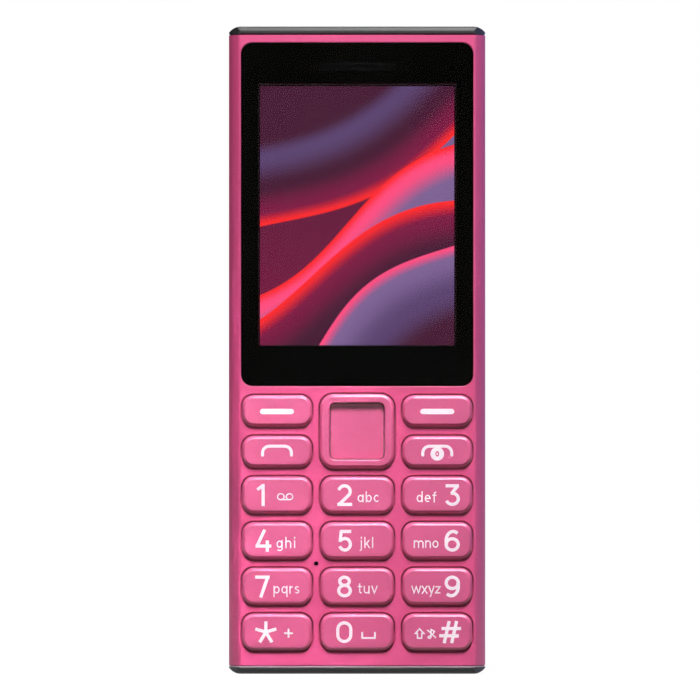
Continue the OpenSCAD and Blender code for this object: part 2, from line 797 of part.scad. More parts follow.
// Dark moulded chassis: component space in front, battery bay and upper deck behind
module chassis() {
  corner_r = 1.2;
  post_r = screw_head_r + chassis_wall / 2;
  pocket_w = (chassis_w - bay_w) / 2 - chassis_wall - bay_wall;
  pocket_x = (bay_w + pocket_w) / 2 + bay_wall;
  head_d = floor_d;
  color(black)
    difference() {
      union() {
        difference() {
          chassis_block();
          slab(chassis_w - 2 * chassis_wall, inner_l - 2 * chassis_wall, corner_r / 2,
            board_back, floor_d, 0, mid_z);
          slab(chassis_w - 2 * chassis_wall, deck_z1 - deck_z0, corner_r / 2,
            board_back, deck_d, 0, (deck_z0 + deck_z1) / 2);
        }
        intersection() {
          chassis_block();
          for (screw = SCREWS)
            rod(post_r, board_back, deck_d, screw[0], screw[1]);
        }
        slab(speaker_w + 2 * bay_wall, speaker_h + 2 * bay_wall, corner_r,
          speaker_d - bay_wall, deck_d, 0, speaker_z);
      }
      slab(bay_w, bay_l, battery_gap, bay_d, body_d, 0, bay_mid);
      rod(notch_r, bay_d, body_d, 0, bay_top);
      for (side = [-1, 1])
        slab(pocket_w, bay_l, pocket_w / 4, bay_d, body_d, side * pocket_x, bay_mid);
      slab(speaker_w + 2 * battery_gap, speaker_h + 2 * battery_gap, corner_r / 2,
        speaker_d, body_d, 0, speaker_z);
      rod(bezel_r + camera_gap, deck_d, body_d, 0, camera_z);
      rod(flash_r + camera_gap, deck_d, body_d, 0, flash_z);
      for (screw = SCREWS) {
        rod(screw_head_r + battery_gap, head_d, body_d, screw[0], screw[1]);
        rod(screw_r + screw_gap, board_back, body_d, screw[0], screw[1]);
      }
      for (side = [-1, 1])
        slab(sim_w, sim_h, sheet_t, floor_d, bay_d, side * sim_pitch / 2, sim_z);
      slab(card_w, card_h, sheet_t, floor_d, bay_d, 0, card_z);
      translate([0, front_y + usb_d, 0])
        linear_extrude(usb_l + port_recess + port_gap)
          rounded_rect(usb_w + 2 * port_gap, usb_h + 2 * port_gap, usb_h / 2);
      translate([jack_x, front_y + jack_d, body_l - inner_z0 - chassis_wall])
        cylinder(r = jack_nose_r + port_gap, h = inner_z0 + chassis_wall);
      slab(3 * contact_pitch + 2 * port_gap, contact_h + 2 * port_gap, port_gap,
        floor_d, battery_back, 0, contact_z);
    }
}

// Clear window lens with the earpiece slot
module window_lens() {
  w = window_w - 2 * lens_gap;
  h = window_h - 2 * lens_gap;
  color(black, 0.6)
    difference() {
      rimmed(w, h, window_r, lens_recess, mask_d, 0, window_mid)
        flared_rim(window_r, lens_t, -lens_chamfer);
      slot_cut(ear_slot_w, ear_slot_h, 0, mask_d, 0, ear_z);
    }
}

// Black print on the back of the lens, open over the picture
module window_mask() {
  color(black)
    difference() {
      slab(window_w - 2 * lens_gap, window_h - 2 * lens_gap, window_r, mask_d, tape_d, 0, window_mid);
      slab(screen_w + 2 * mask_margin, screen_h + 2 * mask_margin, mask_margin, 0, ledge_d, 0, screen_mid);
      slot_cut(ear_slot_w, ear_slot_h, 0, ledge_d, 0, ear_z);
    }
}

// Adhesive frame that holds the window in its pocket
module window_tape() {
  w = window_w - 2 * lens_gap;
  h = window_h - 2 * lens_gap;
  color("#3a3a3c")
    difference() {
      slab(w, h, window_r, tape_d, ledge_d - tape_gap, 0, window_mid);
      slab(w - 2 * tape_w, h - 2 * tape_w, tape_w / 2, 0, ledge_back, 0, window_mid);
    }
}

// Dust mesh behind the earpiece slot
module earpiece_mesh() {
  color("#2a2a2c")
    slab(ear_slot_w + 2 * tape_t, ear_slot_h + 2 * tape_t, ear_slot_h / 2, tape_d, ledge_d, 0, ear_z);
}

// Foam frame between the ledge and the display
module display_gasket() {
  w = panel_w - gasket_w;
  h = screen_h + 2 * panel_top;
  color("#1b1b1d")
    difference() {
      slab(w, h, gasket_w, ledge_back, panel_d, 0, screen_mid);
      slab(w - 2 * gasket_w, h - 2 * gasket_w, gasket_w / 2, ledge_d, board_d, 0, screen_mid);
    }
}

// Two glass sheets; the rear one is longer and carries the display driver
module display_panel() {
  driver_w = 16;
  driver_h = 1.2;
  front_z0 = screen_z0 - panel_top;
  color("#5c2a4a") {
    slab(panel_w, panel_z1 - front_z0, glass_t / 2, panel_d, rear_glass_d, 0, (panel_z1 + front_z0) / 2);
    slab(panel_w, panel_z1 - panel_z0, glass_t / 2, rear_glass_d, backlight_d, 0, (panel_z1 + panel_z0) / 2);
    slab(driver_w, driver_h, glass_t / 4, panel_d + glass_t / 2, rear_glass_d,
      0, front_z0 - driver_h);
  }
}

// White frame and light guide behind the glass
module display_backlight() {
  color("#e9e9e6")
    slab(panel_w, panel_z1 - panel_z0, glass_t, backlight_d, backlight_back, 0, (panel_z1 + panel_z0) / 2);
}

// Ribbon that folds round the foot of the glass and lies behind the backlight
module display_ribbon() {
  bond_l = 1.4;
  fold_d = (backlight_back + rear_glass_d) / 2;
  color("#b5762a")
    translate([-ribbon_w / 2, front_y, panel_z0])
      rotate([90, 0, 90])
        linear_extrude(ribbon_w) {
          translate([fold_d - ribbon_fold_r, 0])
            square([ribbon_t, bond_l]);
          translate([fold_d + ribbon_fold_r - ribbon_t, 0])
            square([ribbon_t, ribbon_l]);
          intersection() {
            translate([fold_d, 0])
              difference() {
                circle(ribbon_fold_r);
                circle(ribbon_fold_r - ribbon_t);
              }
            translate([0, -2 * ribbon_fold_r])
              square([2 * board_d, 2 * ribbon_fold_r]);
          }
        }
}

// Pink keycap with a rounded rim and a flange behind the cover
module keycap(x, z, w, h) {
  r = key_corner_r - key_gap;
  color(pink) {
    rimmed(w - 2 * key_gap, h - 2 * key_gap, r, -key_rise, flange_back, x, z)
      bevelled_rim(r, key_rise + flange_back);
    slab(w + 2 * flange_out, h + 2 * flange_out, key_corner_r + flange_out, flange_d, flange_back, x, z);
  }
}

// Square direction ring with a chamfered recess
module nav_ring() {
  r = pad_corner_r - key_gap;
  color(pink)
    difference() {
      union() {
        rimmed(pad_w - 2 * key_gap, pad_w - 2 * key_gap, r, -ring_top, ring_back, 0, pad_z)
          bevelled_rim(r, ring_top + ring_back);
        slab(pad_w + 2 * flange_out, pad_w + 2 * flange_out, pad_corner_r + flange_out,
          ring_flange_d, ring_back, 0, pad_z);
      }
      rimmed(recess_w, recess_h, recess_corner_r, -ring_top, ring_back, 0, pad_z)
        flared_rim(recess_corner_r, ring_top + ring_back, recess_chamfer);
    }
}

// Select key: a plate in the ring's recess on a round stem
module nav_select() {
  r = recess_corner_r - select_gap;
  plate_d = recess_depth - ring_top;
  color(pink) {
    slab(recess_w - 2 * select_gap, recess_h - 2 * select_gap, r, plate_d, select_back_d, 0, pad_z);
    rod(stem_r, select_back_d, mat_d, 0, pad_z);
  }
}

// Rocker plate: the ring rocks on its front ridge, and it rocks on the mat by its back ridge
module nav_rocker() {
  hole_r = stem_r + 2 * key_gap;
  half_t = rocker_t / 2;
  color(rubber)
    difference() {
      union() {
        slab(rocker_w, rocker_w, rocker_t, rocker_axis_d - half_t, rocker_axis_d + half_t, 0, pad_z);
        translate([-rocker_w / 2, front_y + rocker_axis_d, pad_z])
          rotate([90, 0, 90])
            linear_extrude(rocker_w)
              half_round(-1);
        translate([0, front_y + rocker_axis_d, pad_z - rocker_w / 2])
          linear_extrude(rocker_w)
            rotate(90)
              half_round(1);
      }
      rod(hole_r, ring_back, mat_d, 0, pad_z);
    }
}

// A ridge's round section, from just behind its axis to one side
module half_round(side) {
  root = rocker_t / 4;
  intersection() {
    circle(ridge_r);
    translate([side * (ridge_r - root) / 2, 0])
      square([ridge_r + root, 2 * ridge_r], center = true);
  }
}

// Silicone key mat: a web with a post under each key and a pip over each dome
module key_mat() {
  post_inset = 1.5;
  color(rubber)
    difference() {
      union() {
        slab(board_w, mat_z1 - mat_z0, mat_corner_r, mat_d, mat_back, 0, (mat_z0 + mat_z1) / 2);
        for (key = KEYS)
          slab(key[3] - 2 * post_inset, key[4] - 2 * post_inset, key_corner_r - post_inset,
            flange_back, mat_d, key[1], key[2]);
        for (dome = DOMES)
          rod(pip_r, mat_d, dome_top - pip_gap, dome[0], dome[1]);
      }
      for (screw = [SCREWS[0], SCREWS[1]])
        rod(boss_r + key_gap, front_wall, board_d, screw[0], screw[1]);
      rod(mic_boot_r + key_gap, front_wall, board_d, mic_x, mic_z);
    }
}

// Snap domes, one under each key and five under the direction pad
module key_domes() {
  bulge_r = (pow(dome_r, 2) + pow(dome_h, 2)) / (2 * dome_h);
  color(steel)
    for (dome = DOMES)
      translate([dome[0], front_y + board_d, dome[1]])
        rotate([90, 0, 0])
          rotate_extrude()
            intersection() {
              square([dome_r, dome_h]);
              translate([0, dome_h - bulge_r])
                difference() {
                  circle(bulge_r, $fn = 192);
                  circle(bulge_r - dome_t, $fn = 192);
                }
            }
}

// Film that holds the domes on the board
module dome_film() {
  color("#cfd6dc")
    difference() {
      slab(board_w, mat_z1 - mat_z0, mat_corner_r, board_d - film_t, board_d, 0, (mat_z0 + mat_z1) / 2);
      for (dome = DOMES)
        rod(dome_r + pip_gap, mat_back, board_back, dome[0], dome[1]);
      for (screw = [SCREWS[0], SCREWS[1]])
        rod(boss_r + key_gap, front_wall, board_back, screw[0], screw[1]);
      slab(mic_w + 2 * key_gap, mic_l + 2 * key_gap, key_gap, mat_back, board_back, mic_x, mic_z);
    }
}

// Printed circuit board
module main_board() {
  color(green)
    difference() {
      slab(board_w, inner_l, board_corner_r, board_d, board_back, 0, mid_z);
      for (screw = SCREWS)
        rod(screw_r + 2 * screw_gap, board_d, board_back, screw[0], screw[1]);
    }
}

// Two drawn shield cans on the back of the board
module shield_cans() {
  can_w = 17;
  can_h = 15;
  can_r = 1;
  can_x = can_w / 2 + can_r;
  can_z = speaker_z - speaker_h / 2 + can_h / 2;
  color(steel)
    for (side = [-1, 1])
      difference() {
        slab(can_w, can_h, can_r, board_back, floor_d - sheet_t, side * can_x, can_z);
        slab(can_w - 2 * sheet_t, can_h - 2 * sheet_t, can_r - sheet_t, board_back, floor_d - 2 * sheet_t,
          side * can_x, can_z);
      }
}

// Drawn cage of a card socket, open on its lower edge
module card_cage(w, h, x, z) {
  difference() {
    slab(w, h, sheet_t, board_back, board_back + socket_t, x, z);
    slab(w - 4 * sheet_t, h, sheet_t, board_back + 2 * sheet_t, board_back + socket_t - sheet_t,
      x, z - 2 * sheet_t);
    slab(w / 2, h / 2, 2 * sheet_t, board_back + 2 * sheet_t, board_back + 2 * socket_t, x, z - h / 4);
  }
}

module sim_sockets() {
  color(steel)
    for (side = [-1, 1])
      card_cage(sim_w, sim_h, side * sim_pitch / 2, sim_z);
}

module card_socket() {
  color(steel)
    card_cage(card_w, card_h, 0, card_z);
}

// Flat lithium battery with rounded long edges
module battery() {
  color("#d9dbde")
    translate([0, front_y, battery_z])
      linear_extrude(battery_l)
        translate([0, (battery_d + battery_back) / 2])
          rounded_rect(battery_w, battery_t, battery_r);
}

// Contact block below the battery with three sprung blades
module battery_contacts() {
  blade_w = 1.2;
  blade_r = 0.5;
  color(gold) {
    slab(3 * contact_pitch, contact_h, port_gap, board_back, battery_back - battery_gap, 0, contact_z);
    for (blade = [-1, 0, 1])
      translate([blade * contact_pitch - blade_w / 2, front_y + battery_d + battery_t / 2,
        battery_z - blade_r - screw_gap])
        rotate([0, 90, 0])
          cylinder(r = blade_r, h = blade_w);
  }
}

// Charging socket: a drawn oval shell with a tongue
module usb_socket() {
  tongue_w = 6.54;
  tongue_t = 0.7;
  back_t = 1;
  color(steel)
    translate([0, front_y + usb_d, port_recess]) {
      linear_extrude(usb_l)
        difference() {
          rounded_rect(usb_w, usb_h, usb_h / 2 - usb_shell / 2);
          rounded_rect(usb_w - 2 * usb_shell, usb_h - 2 * usb_shell, usb_h / 2 - 1.5 * usb_shell);
        }
      translate([0, 0, usb_l - back_t])
        linear_extrude(back_t)
          rounded_rect(usb_w - 2 * usb_shell, usb_h - 2 * usb_shell, usb_h / 2 - 1.5 * usb_shell);
      translate([-tongue_w / 2, -tongue_t / 2, back_t])
        cube([tongue_w, tongue_t, usb_l - 2 * back_t]);
    }
}

// Headphone socket with its round nose in the top cap
module audio_jack() {
  jack_top = body_l - inner_z0 - chassis_wall - port_gap;
  corner_r = 0.4;
  color(black)
    difference() {
      union() {
        translate([jack_x, front_y + jack_d, jack_top])
          cylinder(r = jack_nose_r, h = body_l - port_recess - jack_top);
        slab(jack_w, jack_l, corner_r, board_back, jack_d + jack_nose_r, jack_x, jack_top - jack_l / 2);
      }
      translate([jack_x, front_y + jack_d, body_l - port_recess - jack_depth])
        cylinder(r = jack_bore_r, h = jack_depth);
    }
}

// Earpiece receiver above the display
module earpiece_receiver() {
  corner_r = 1;
  color("#8c8f93")
    slab(receiver_w, receiver_h, corner_r, ledge_back, ledge_back + receiver_t, 0, receiver_z);
}

// Microphone on the front of the board
module microphone() {
  color(gold)
    difference() {
      slab(mic_w, mic_l, mic_hole_r, board_d - mic_h, board_d, mic_x, mic_z);
      rod(mic_hole_r, board_d - mic_h, board_d - mic_h / 2, mic_x, mic_z);
    }
}

// Rubber boot that leads sound from the cover to the microphone
module mic_boot() {
  color("#222224")
    difference() {
      rod(mic_boot_r, front_wall, board_d - mic_h, mic_x, mic_z);
      rod(mic_hole_r, front_wall, board_d - mic_h, mic_x, mic_z);
    }
}

// Oval loudspeaker with a raised membrane, facing the back
module loudspeaker() {
  corner_r = 2;
  membrane_r = 4;
  frame_w = 1;
  color("#3b3d40")
    difference() {
      slab(speaker_w, speaker_h, corner_r, speaker_d, chassis_back - cover_gap, 0, speaker_z);
      slab(speaker_w - 2 * frame_w, speaker_h - 2 * frame_w, membrane_r,
        chassis_back - 3 * cover_gap, body_d, 0, speaker_z);
    }
}

// Mesh on the inside of the battery cover's slots
module speaker_mesh() {
  mesh_h = speaker_slots * speaker_slot_pitch;
  overlap = 1;
  corner_r = 0.6;
  color("#2a2a2c")
    slab(speaker_slot_l + 2 * overlap, mesh_h, corner_r, cover_in_d - speaker_mesh_t, cover_in_d,
      0, speaker_z);
}

// Coin vibration motor on the back of the board
module vibration_motor() {
  color(steel)
    rod(motor_r, board_back, board_back + motor_t, motor_x, motor_z);
}

// Camera module: a square base and a round lens barrel
module camera_module() {
  barrel_d = bezel_d - camera_window_t - bezel_flange_t;
  corner_r = 0.5;
  color(black)
    difference() {
      union() {
        slab(camera_w, camera_w, corner_r, board_back, deck_d - bezel_flange_t, 0, camera_z);
        rod(camera_w / 2 - bezel_flange_t, board_back, barrel_d, 0, camera_z);
      }
      rod(camera_w / 4, barrel_d - 2 * bezel_flange_t, barrel_d, 0, camera_z);
    }
}

// Ring round the camera, carried by the upper deck
module camera_bezel() {
  color("#3a3a3d")
    difference() {
      rod(bezel_r, deck_d - bezel_flange_t, bezel_d, 0, camera_z);
      rod(camera_window_r, bezel_d - camera_window_t, bezel_d, 0, camera_z);
      rod(camera_window_r - bezel_flange_t, board_back, bezel_d, 0, camera_z);
    }
}

// Round camera window in the bezel
module camera_window() {
  color("#0c0c10")
    rod(camera_window_r - screw_gap, bezel_d - camera_window_t, bezel_d - screw_gap, 0, camera_z);
}

// Flash lamp on the board
module flash_led() {
  led_w = 2.2;
  corner_r = 0.2;
  color("#e6df9a")
    slab(led_w, led_w, corner_r, board_back, deck_d - camera_gap, 0, flash_z);
}

// Clear flash lens in the cover
module flash_lens() {
  color("#e8e8ee")
    rod(flash_r, deck_d - camera_gap, bezel_d, 0, flash_z);
}

// Folded sheet antenna on the lower end of the chassis
module antenna() {
  antenna_h = 5;
  corner_r = 0.6;
  slot_h = 1;
  antenna_z = inner_z0 + chassis_wall + antenna_h / 2;
  color(gold)
    difference() {
      slab(bay_w, antenna_h, corner_r, chassis_back, chassis_back + sheet_t / 2, 0, antenna_z);
      slab(bay_w - 2 * antenna_h, slot_h, slot_h / 4, chassis_back, body_d, antenna_h, antenna_z);
    }
}

// Four pan head screws from the chassis into the front cover
module screws() {
  drive_r = 0.5;
  tip_d = ledge_back + screw_gap;
  color("#5c5f63")
    for (screw = SCREWS)
      difference() {
        union() {
          rod(screw_r, tip_d, floor_d, screw[0], screw[1]);
          rod(screw_head_r, floor_d, floor_d + screw_head_h, screw[0], screw[1]);
        }
        rod(drive_r, floor_d + screw_head_h / 3, floor_d + screw_head_h, screw[0], screw[1]);
      }
}

front_cover();
battery_cover();
chassis();
top_cap();
bottom_cap();
window_lens();
window_mask();
window_tape();
earpiece_mesh();
display_gasket();
display_panel();
display_backlight();
display_ribbon();
for (key = KEYS)
  keycap(key[1], key[2], key[3], key[4]);
nav_ring();
nav_select();
nav_rocker();
key_mat();
key_domes();
dome_film();
main_board();
shield_cans();
sim_sockets();
card_socket();
battery();
battery_contacts();
usb_socket();
audio_jack();
earpiece_receiver();
microphone();
mic_boot();
loudspeaker();
speaker_mesh();
vibration_motor();
camera_module();
camera_bezel();
camera_window();
flash_led();
flash_lens();
antenna();
screws();
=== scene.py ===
import math

import bmesh
import bpy
from mathutils import Matrix, Vector


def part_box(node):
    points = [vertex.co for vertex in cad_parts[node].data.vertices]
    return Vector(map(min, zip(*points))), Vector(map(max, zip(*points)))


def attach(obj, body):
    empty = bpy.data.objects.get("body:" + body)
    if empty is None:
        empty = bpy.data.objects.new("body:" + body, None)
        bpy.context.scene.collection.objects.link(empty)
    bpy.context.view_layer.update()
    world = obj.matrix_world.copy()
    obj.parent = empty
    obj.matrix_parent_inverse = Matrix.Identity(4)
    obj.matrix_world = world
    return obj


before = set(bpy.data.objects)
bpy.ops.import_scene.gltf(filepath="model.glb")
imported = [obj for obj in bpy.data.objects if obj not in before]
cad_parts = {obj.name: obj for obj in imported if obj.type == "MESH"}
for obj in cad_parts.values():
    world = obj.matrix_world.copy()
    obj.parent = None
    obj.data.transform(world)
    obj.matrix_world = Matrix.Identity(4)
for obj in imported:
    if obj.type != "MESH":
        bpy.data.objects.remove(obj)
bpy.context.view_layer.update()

# Front cover: one injection moulding in pink polycarbonate with a fine satin grain from the tool.
# Four screws hold it to the chassis, and it carries the window, the keys and both end caps.
PINK = (0.80, 0.102, 0.285, 1.0)
PINK_LOW = (0.74, 0.084, 0.25, 1.0)


def add_node(tree, kind, sockets=None, **settings):
    made = tree.nodes.new("ShaderNode" + kind)
    for key, value in settings.items():
        setattr(made, key, value)
    for key, value in (sockets or {}).items():
        if isinstance(value, bpy.types.NodeSocket):
            tree.links.new(value, made.inputs[key])
        else:
            made.inputs[key].default_value = value
    return made


def calc(tree, operation, *values):
    return add_node(tree, "Math", dict(enumerate(values)), operation=operation).outputs[0]


def blend_colours(tree, factor, first, second):
    mixed = add_node(tree, "Mix", {0: factor, 6: first, 7: second}, data_type="RGBA")
    return mixed.outputs[2]


def piece_place(tree):
    return add_node(tree, "TexCoord").outputs["Object"]


def noise(tree, place, scale, detail):
    return add_node(tree, "TexNoise", {"Vector": place, "Scale": scale, "Detail": detail}).outputs[0]


def remap(tree, value, low, high, to_low=0.0, to_high=1.0):
    ends = {"From Min": low, "From Max": high, "To Min": to_low, "To Max": to_high}
    return add_node(tree, "MapRange", {"Value": value, **ends}).outputs[0]


def shader_group(name, inputs, outputs):
    group = bpy.data.node_groups.new(name, "ShaderNodeTree")
    for label, kind in inputs.items():
        group.interface.new_socket(name=label, in_out="INPUT", socket_type="NodeSocket" + kind)
    for label, kind in outputs.items():
        group.interface.new_socket(name=label, in_out="OUTPUT", socket_type="NodeSocket" + kind)
    return group, group.nodes.new("NodeGroupInput").outputs, group.nodes.new("NodeGroupOutput").inputs


moulded_skin, given, sent = shader_group(
    "moulded_skin",
    {
        "Colour": "Color", "Low Colour": "Color", "Grain Scale": "Float",
        "Roughness": "Float", "Spread": "Float",
    },
    {"Colour": "Color", "Roughness": "Float", "Height": "Float"},
)
GRAIN_SHARE = 0.45
CLOUD_SHARE = 0.55
NOISE_MEAN = 0.5
place = piece_place(moulded_skin)
grain = noise(moulded_skin, place, given["Grain Scale"], detail=3.0)
cloud = noise(moulded_skin, place, scale=70.0, detail=4.0)
clouded = calc(moulded_skin, "MULTIPLY", cloud, CLOUD_SHARE)
patchy = calc(moulded_skin, "MULTIPLY_ADD", grain, GRAIN_SHARE, clouded)
depth = remap(moulded_skin, patchy, low=0.3, high=0.7)
swing = calc(moulded_skin, "MULTIPLY", calc(moulded_skin, "SUBTRACT", patchy, NOISE_MEAN), given["Spread"])
links = moulded_skin.links
links.new(blend_colours(moulded_skin, depth, given["Low Colour"], given["Colour"]), sent["Colour"])
links.new(calc(moulded_skin, "ADD", given["Roughness"], swing), sent["Roughness"])
links.new(grain, sent["Height"])


def plain_finish(name, sockets):
    material = bpy.data.materials.new(name)
    material.use_nodes = True
    shader = material.node_tree.nodes["Principled BSDF"]
    for label, value in sockets.items():
        shader.inputs[label].default_value = value
    return material, material.node_tree, shader.inputs


def moulded_finish(name, colour, low, grain_scale, roughness, spread, relief, sockets=None):
    material, tree, shader = plain_finish(name, sockets or {})
    skin = add_node(tree, "Group", node_tree=moulded_skin)
    values = {
        "Colour": colour, "Low Colour": low, "Grain Scale": grain_scale,
        "Roughness": roughness, "Spread": spread,
    }
    for label, value in values.items():
        skin.inputs[label].default_value = value
    bump = add_node(tree, "Bump", {"Strength": 0.25, "Distance": relief, "Height": skin.outputs["Height"]})
    tree.links.new(skin.outputs["Colour"], shader["Base Color"])
    tree.links.new(skin.outputs["Roughness"], shader["Roughness"])
    tree.links.new(bump.outputs["Normal"], shader["Normal"])
    return material


def dress(material, *names):
    for name in names:
        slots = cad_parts[name].data.materials
        slots.clear()
        slots.append(material)


pink_shell = moulded_finish(
    "pink_shell", PINK, PINK_LOW,
    grain_scale=3200.0, roughness=0.42, spread=0.10, relief=0.000006,
    sockets={"Specular IOR Level": 0.7},
)
dress(pink_shell, "front_cover")

# Window: a clear acrylic lens screen printed black on its back, open over the picture.
# A die cut adhesive frame bonds it into the pocket of the front cover.
window_glass, tree, shader = plain_finish(
    "window_glass", {"Base Color": (0.97, 0.97, 0.97, 1.0), "Transmission Weight": 1.0, "IOR": 1.12}
)
SMEAR_ROUGHNESS = 0.02
smear = add_node(
    tree, "TexNoise", {"Vector": piece_place(tree), "Scale": 55.0, "Detail": 5.0, "Distortion": 0.8}
).outputs[0]
tree.links.new(remap(tree, smear, low=0.45, high=0.8, to_high=SMEAR_ROUGHNESS), shader["Roughness"])
dress(window_glass, "window_lens")
window_print = moulded_finish(
    "window_print", (0.0022, 0.0022, 0.0023, 1.0), (0.0014, 0.0014, 0.0015, 1.0),
    grain_scale=5200.0, roughness=0.62, spread=0.15, relief=0.00001,
    sockets={"Specular IOR Level": 0.1},
)
dress(window_print, "window_mask")
adhesive = moulded_finish(
    "adhesive", (0.03, 0.03, 0.031, 1.0), (0.018, 0.018, 0.019, 1.0),
    grain_scale=2600.0, roughness=0.5, spread=0.25, relief=0.00002,
)
dress(adhesive, "window_tape")

# Earpiece: a woven polyester net behind the slot in the window keeps dust off the receiver.
# The receiver is a drawn steel can with a moving coil, pushed against the ledge from behind.
woven_net, given, sent = shader_group(
    "woven_net",
    {"Yarn Colour": "Color", "Hole Colour": "Color", "Yarns": "Float"},
    {"Colour": "Color", "Height": "Float"},
)
place = add_node(woven_net, "SeparateXYZ", {0: piece_place(woven_net)}).outputs
across = calc(woven_net, "SINE", calc(woven_net, "MULTIPLY", place["X"], given["Yarns"]))
along = calc(woven_net, "SINE", calc(woven_net, "MULTIPLY", place["Z"], given["Yarns"]))
yarn = calc(woven_net, "MAXIMUM", calc(woven_net, "ABSOLUTE", across), calc(woven_net, "ABSOLUTE", along))
closed = remap(woven_net, yarn, low=0.55, high=0.85)
links = woven_net.links
links.new(blend_colours(woven_net, closed, given["Hole Colour"], given["Yarn Colour"]), sent["Colour"])
links.new(yarn, sent["Height"])


def net_finish(name, yarn_colour, hole_colour, yarns):
    material, tree, shader = plain_finish(name, {"Roughness": 0.8, "Specular IOR Level": 0.02})
    net = add_node(tree, "Group", node_tree=woven_net)
    for label, value in {"Yarn Colour": yarn_colour, "Hole Colour": hole_colour, "Yarns": yarns}.items():
        net.inputs[label].default_value = value
    bump = add_node(tree, "Bump", {"Strength": 0.5, "Distance": 0.00005, "Height": net.outputs["Height"]})
    tree.links.new(net.outputs["Colour"], shader["Base Color"])
    tree.links.new(bump.outputs["Normal"], shader["Normal"])
    return material


dark_net = net_finish(
    "acoustic_mesh", (0.006, 0.006, 0.0063, 1.0), (0.0008, 0.0008, 0.0008, 1.0), yarns=12500.0
)
dress(dark_net, "earpiece_mesh")

drawn_metal, given, sent = shader_group(
    "drawn_metal",
    {"Colour": "Color", "Dull Colour": "Color", "Lines": "Float", "Roughness": "Float"},
    {"Colour": "Color", "Roughness": "Float", "Height": "Float"},
)
ALONG_THE_DRAW = (1.0, 1.0, 0.04)
STREAK_ROUGHNESS = 0.22
place = piece_place(drawn_metal)
stretched = add_node(drawn_metal, "Mapping", {"Vector": place, "Scale": ALONG_THE_DRAW}).outputs[0]
streak = noise(drawn_metal, stretched, given["Lines"], detail=4.0)
stain = noise(drawn_metal, place, scale=160.0, detail=3.0)
worn = remap(drawn_metal, stain, low=0.35, high=0.7)
links = drawn_metal.links
links.new(blend_colours(drawn_metal, worn, given["Dull Colour"], given["Colour"]), sent["Colour"])
links.new(calc(drawn_metal, "MULTIPLY_ADD", streak, STREAK_ROUGHNESS, given["Roughness"]), sent["Roughness"])
links.new(streak, sent["Height"])


def metal_finish(name, colour, dull, lines, roughness):
    material, tree, shader = plain_finish(name, {"Metallic": 1.0})
    sheet = add_node(tree, "Group", node_tree=drawn_metal)
    values = {"Colour": colour, "Dull Colour": dull, "Lines": lines, "Roughness": roughness}
    for label, value in values.items():
        sheet.inputs[label].default_value = value
    bump = add_node(tree, "Bump", {"Strength": 0.15, "Distance": 0.00002, "Height": sheet.outputs["Height"]})
    tree.links.new(sheet.outputs["Colour"], shader["Base Color"])
    tree.links.new(sheet.outputs["Roughness"], shader["Roughness"])
    tree.links.new(bump.outputs["Normal"], shader["Normal"])
    return material


sheet_steel = metal_finish(
    "sheet_steel", (0.62, 0.63, 0.65, 1.0), (0.46, 0.47, 0.49, 1.0), lines=2600.0, roughness=0.26
)
dress(sheet_steel, "earpiece_receiver")

# Display: two glass sheets on a white backlight, with a foam frame in front and a ribbon folded behind.
# The picture is a plain wallpaper of soft overlapping waves, and only the picture area gives light.
PICTURE_HALF_W = 0.0183
PICTURE_RATIO = 4.0 / 3.0
PLUM = (0.062, 0.009, 0.032, 1.0)
BURGUNDY = (0.20, 0.008, 0.055, 1.0)
MAUVE = (0.105, 0.055, 0.16, 1.0)
LILAC = (0.21, 0.125, 0.30, 1.0)
HOT_PINK = (1.0, 0.075, 0.22, 1.0)
SIGNAL_RED = (1.0, 0.022, 0.022, 1.0)
BLACK = (0.0, 0.0, 0.0, 1.0)
BORDER_BLACK = (0.004, 0.004, 0.005, 1.0)
LIT_BLACK = (0.002, 0.002, 0.003, 1.0)
PANEL_TOP_BORDER = 0.00215
WAVE_EDGE = 0.006
picture_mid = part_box("display_panel")[1].z - PANEL_TOP_BORDER - PICTURE_HALF_W * PICTURE_RATIO

display_glass, tree, shader = plain_finish(
    "display_glass", {"Emission Strength": 1.0, "Roughness": 0.3, "Specular IOR Level": 0.0}
)
place = add_node(tree, "SeparateXYZ", {0: piece_place(tree)}).outputs
half_widths_x = calc(tree, "DIVIDE", place["X"], PICTURE_HALF_W)
half_widths_z = calc(tree, "DIVIDE", calc(tree, "SUBTRACT", place["Z"], picture_mid), PICTURE_HALF_W)
picture_place = add_node(tree, "CombineXYZ", {"X": half_widths_x, "Y": half_widths_z}).outputs[0]
picture = blend_colours(tree, remap(tree, half_widths_z, low=-1.4, high=1.4), BURGUNDY, PLUM)


def colour_run(tree, value, stops):
    ramp = add_node(tree, "ValToRGB", {"Fac": value})
    ramp.color_ramp.interpolation = "EASE"
    while len(ramp.color_ramp.elements) < len(stops):
        ramp.color_ramp.elements.new(0.5)
    for element, (position, colour) in zip(ramp.color_ramp.elements, stops):
        element.position = position
        element.color = colour
    return ramp.outputs[0]


# Each wave: the way it faces, how far out it starts, its swing, how often and where it swings,
# its width and its colours from its edge inwards
WAVES = (
    (64, 0.62, 0.15, 1.7, 0.4, 0.9, ((0.0, HOT_PINK), (0.14, MAUVE), (0.55, LILAC), (1.0, PLUM))),
    (118, 0.30, 0.20, 1.5, 2.1, 0.9, (
        (0.0, SIGNAL_RED), (0.16, BURGUNDY), (0.45, PLUM), (0.8, MAUVE), (1.0, PLUM),
    )),
    (-62, 0.02, 0.24, 1.6, 0.2, 1.2, ((0.0, SIGNAL_RED), (0.10, HOT_PINK), (0.30, LILAC), (1.0, MAUVE))),
    (-70, 0.42, 0.30, 1.4, 0.9, 1.1, ((0.0, SIGNAL_RED), (0.16, BURGUNDY), (0.45, PLUM), (1.0, PLUM))),
    (-52, 0.82, 0.20, 1.9, 2.2, 0.8, ((0.0, HOT_PINK), (0.16, LILAC), (0.6, MAUVE), (1.0, PLUM))),
)


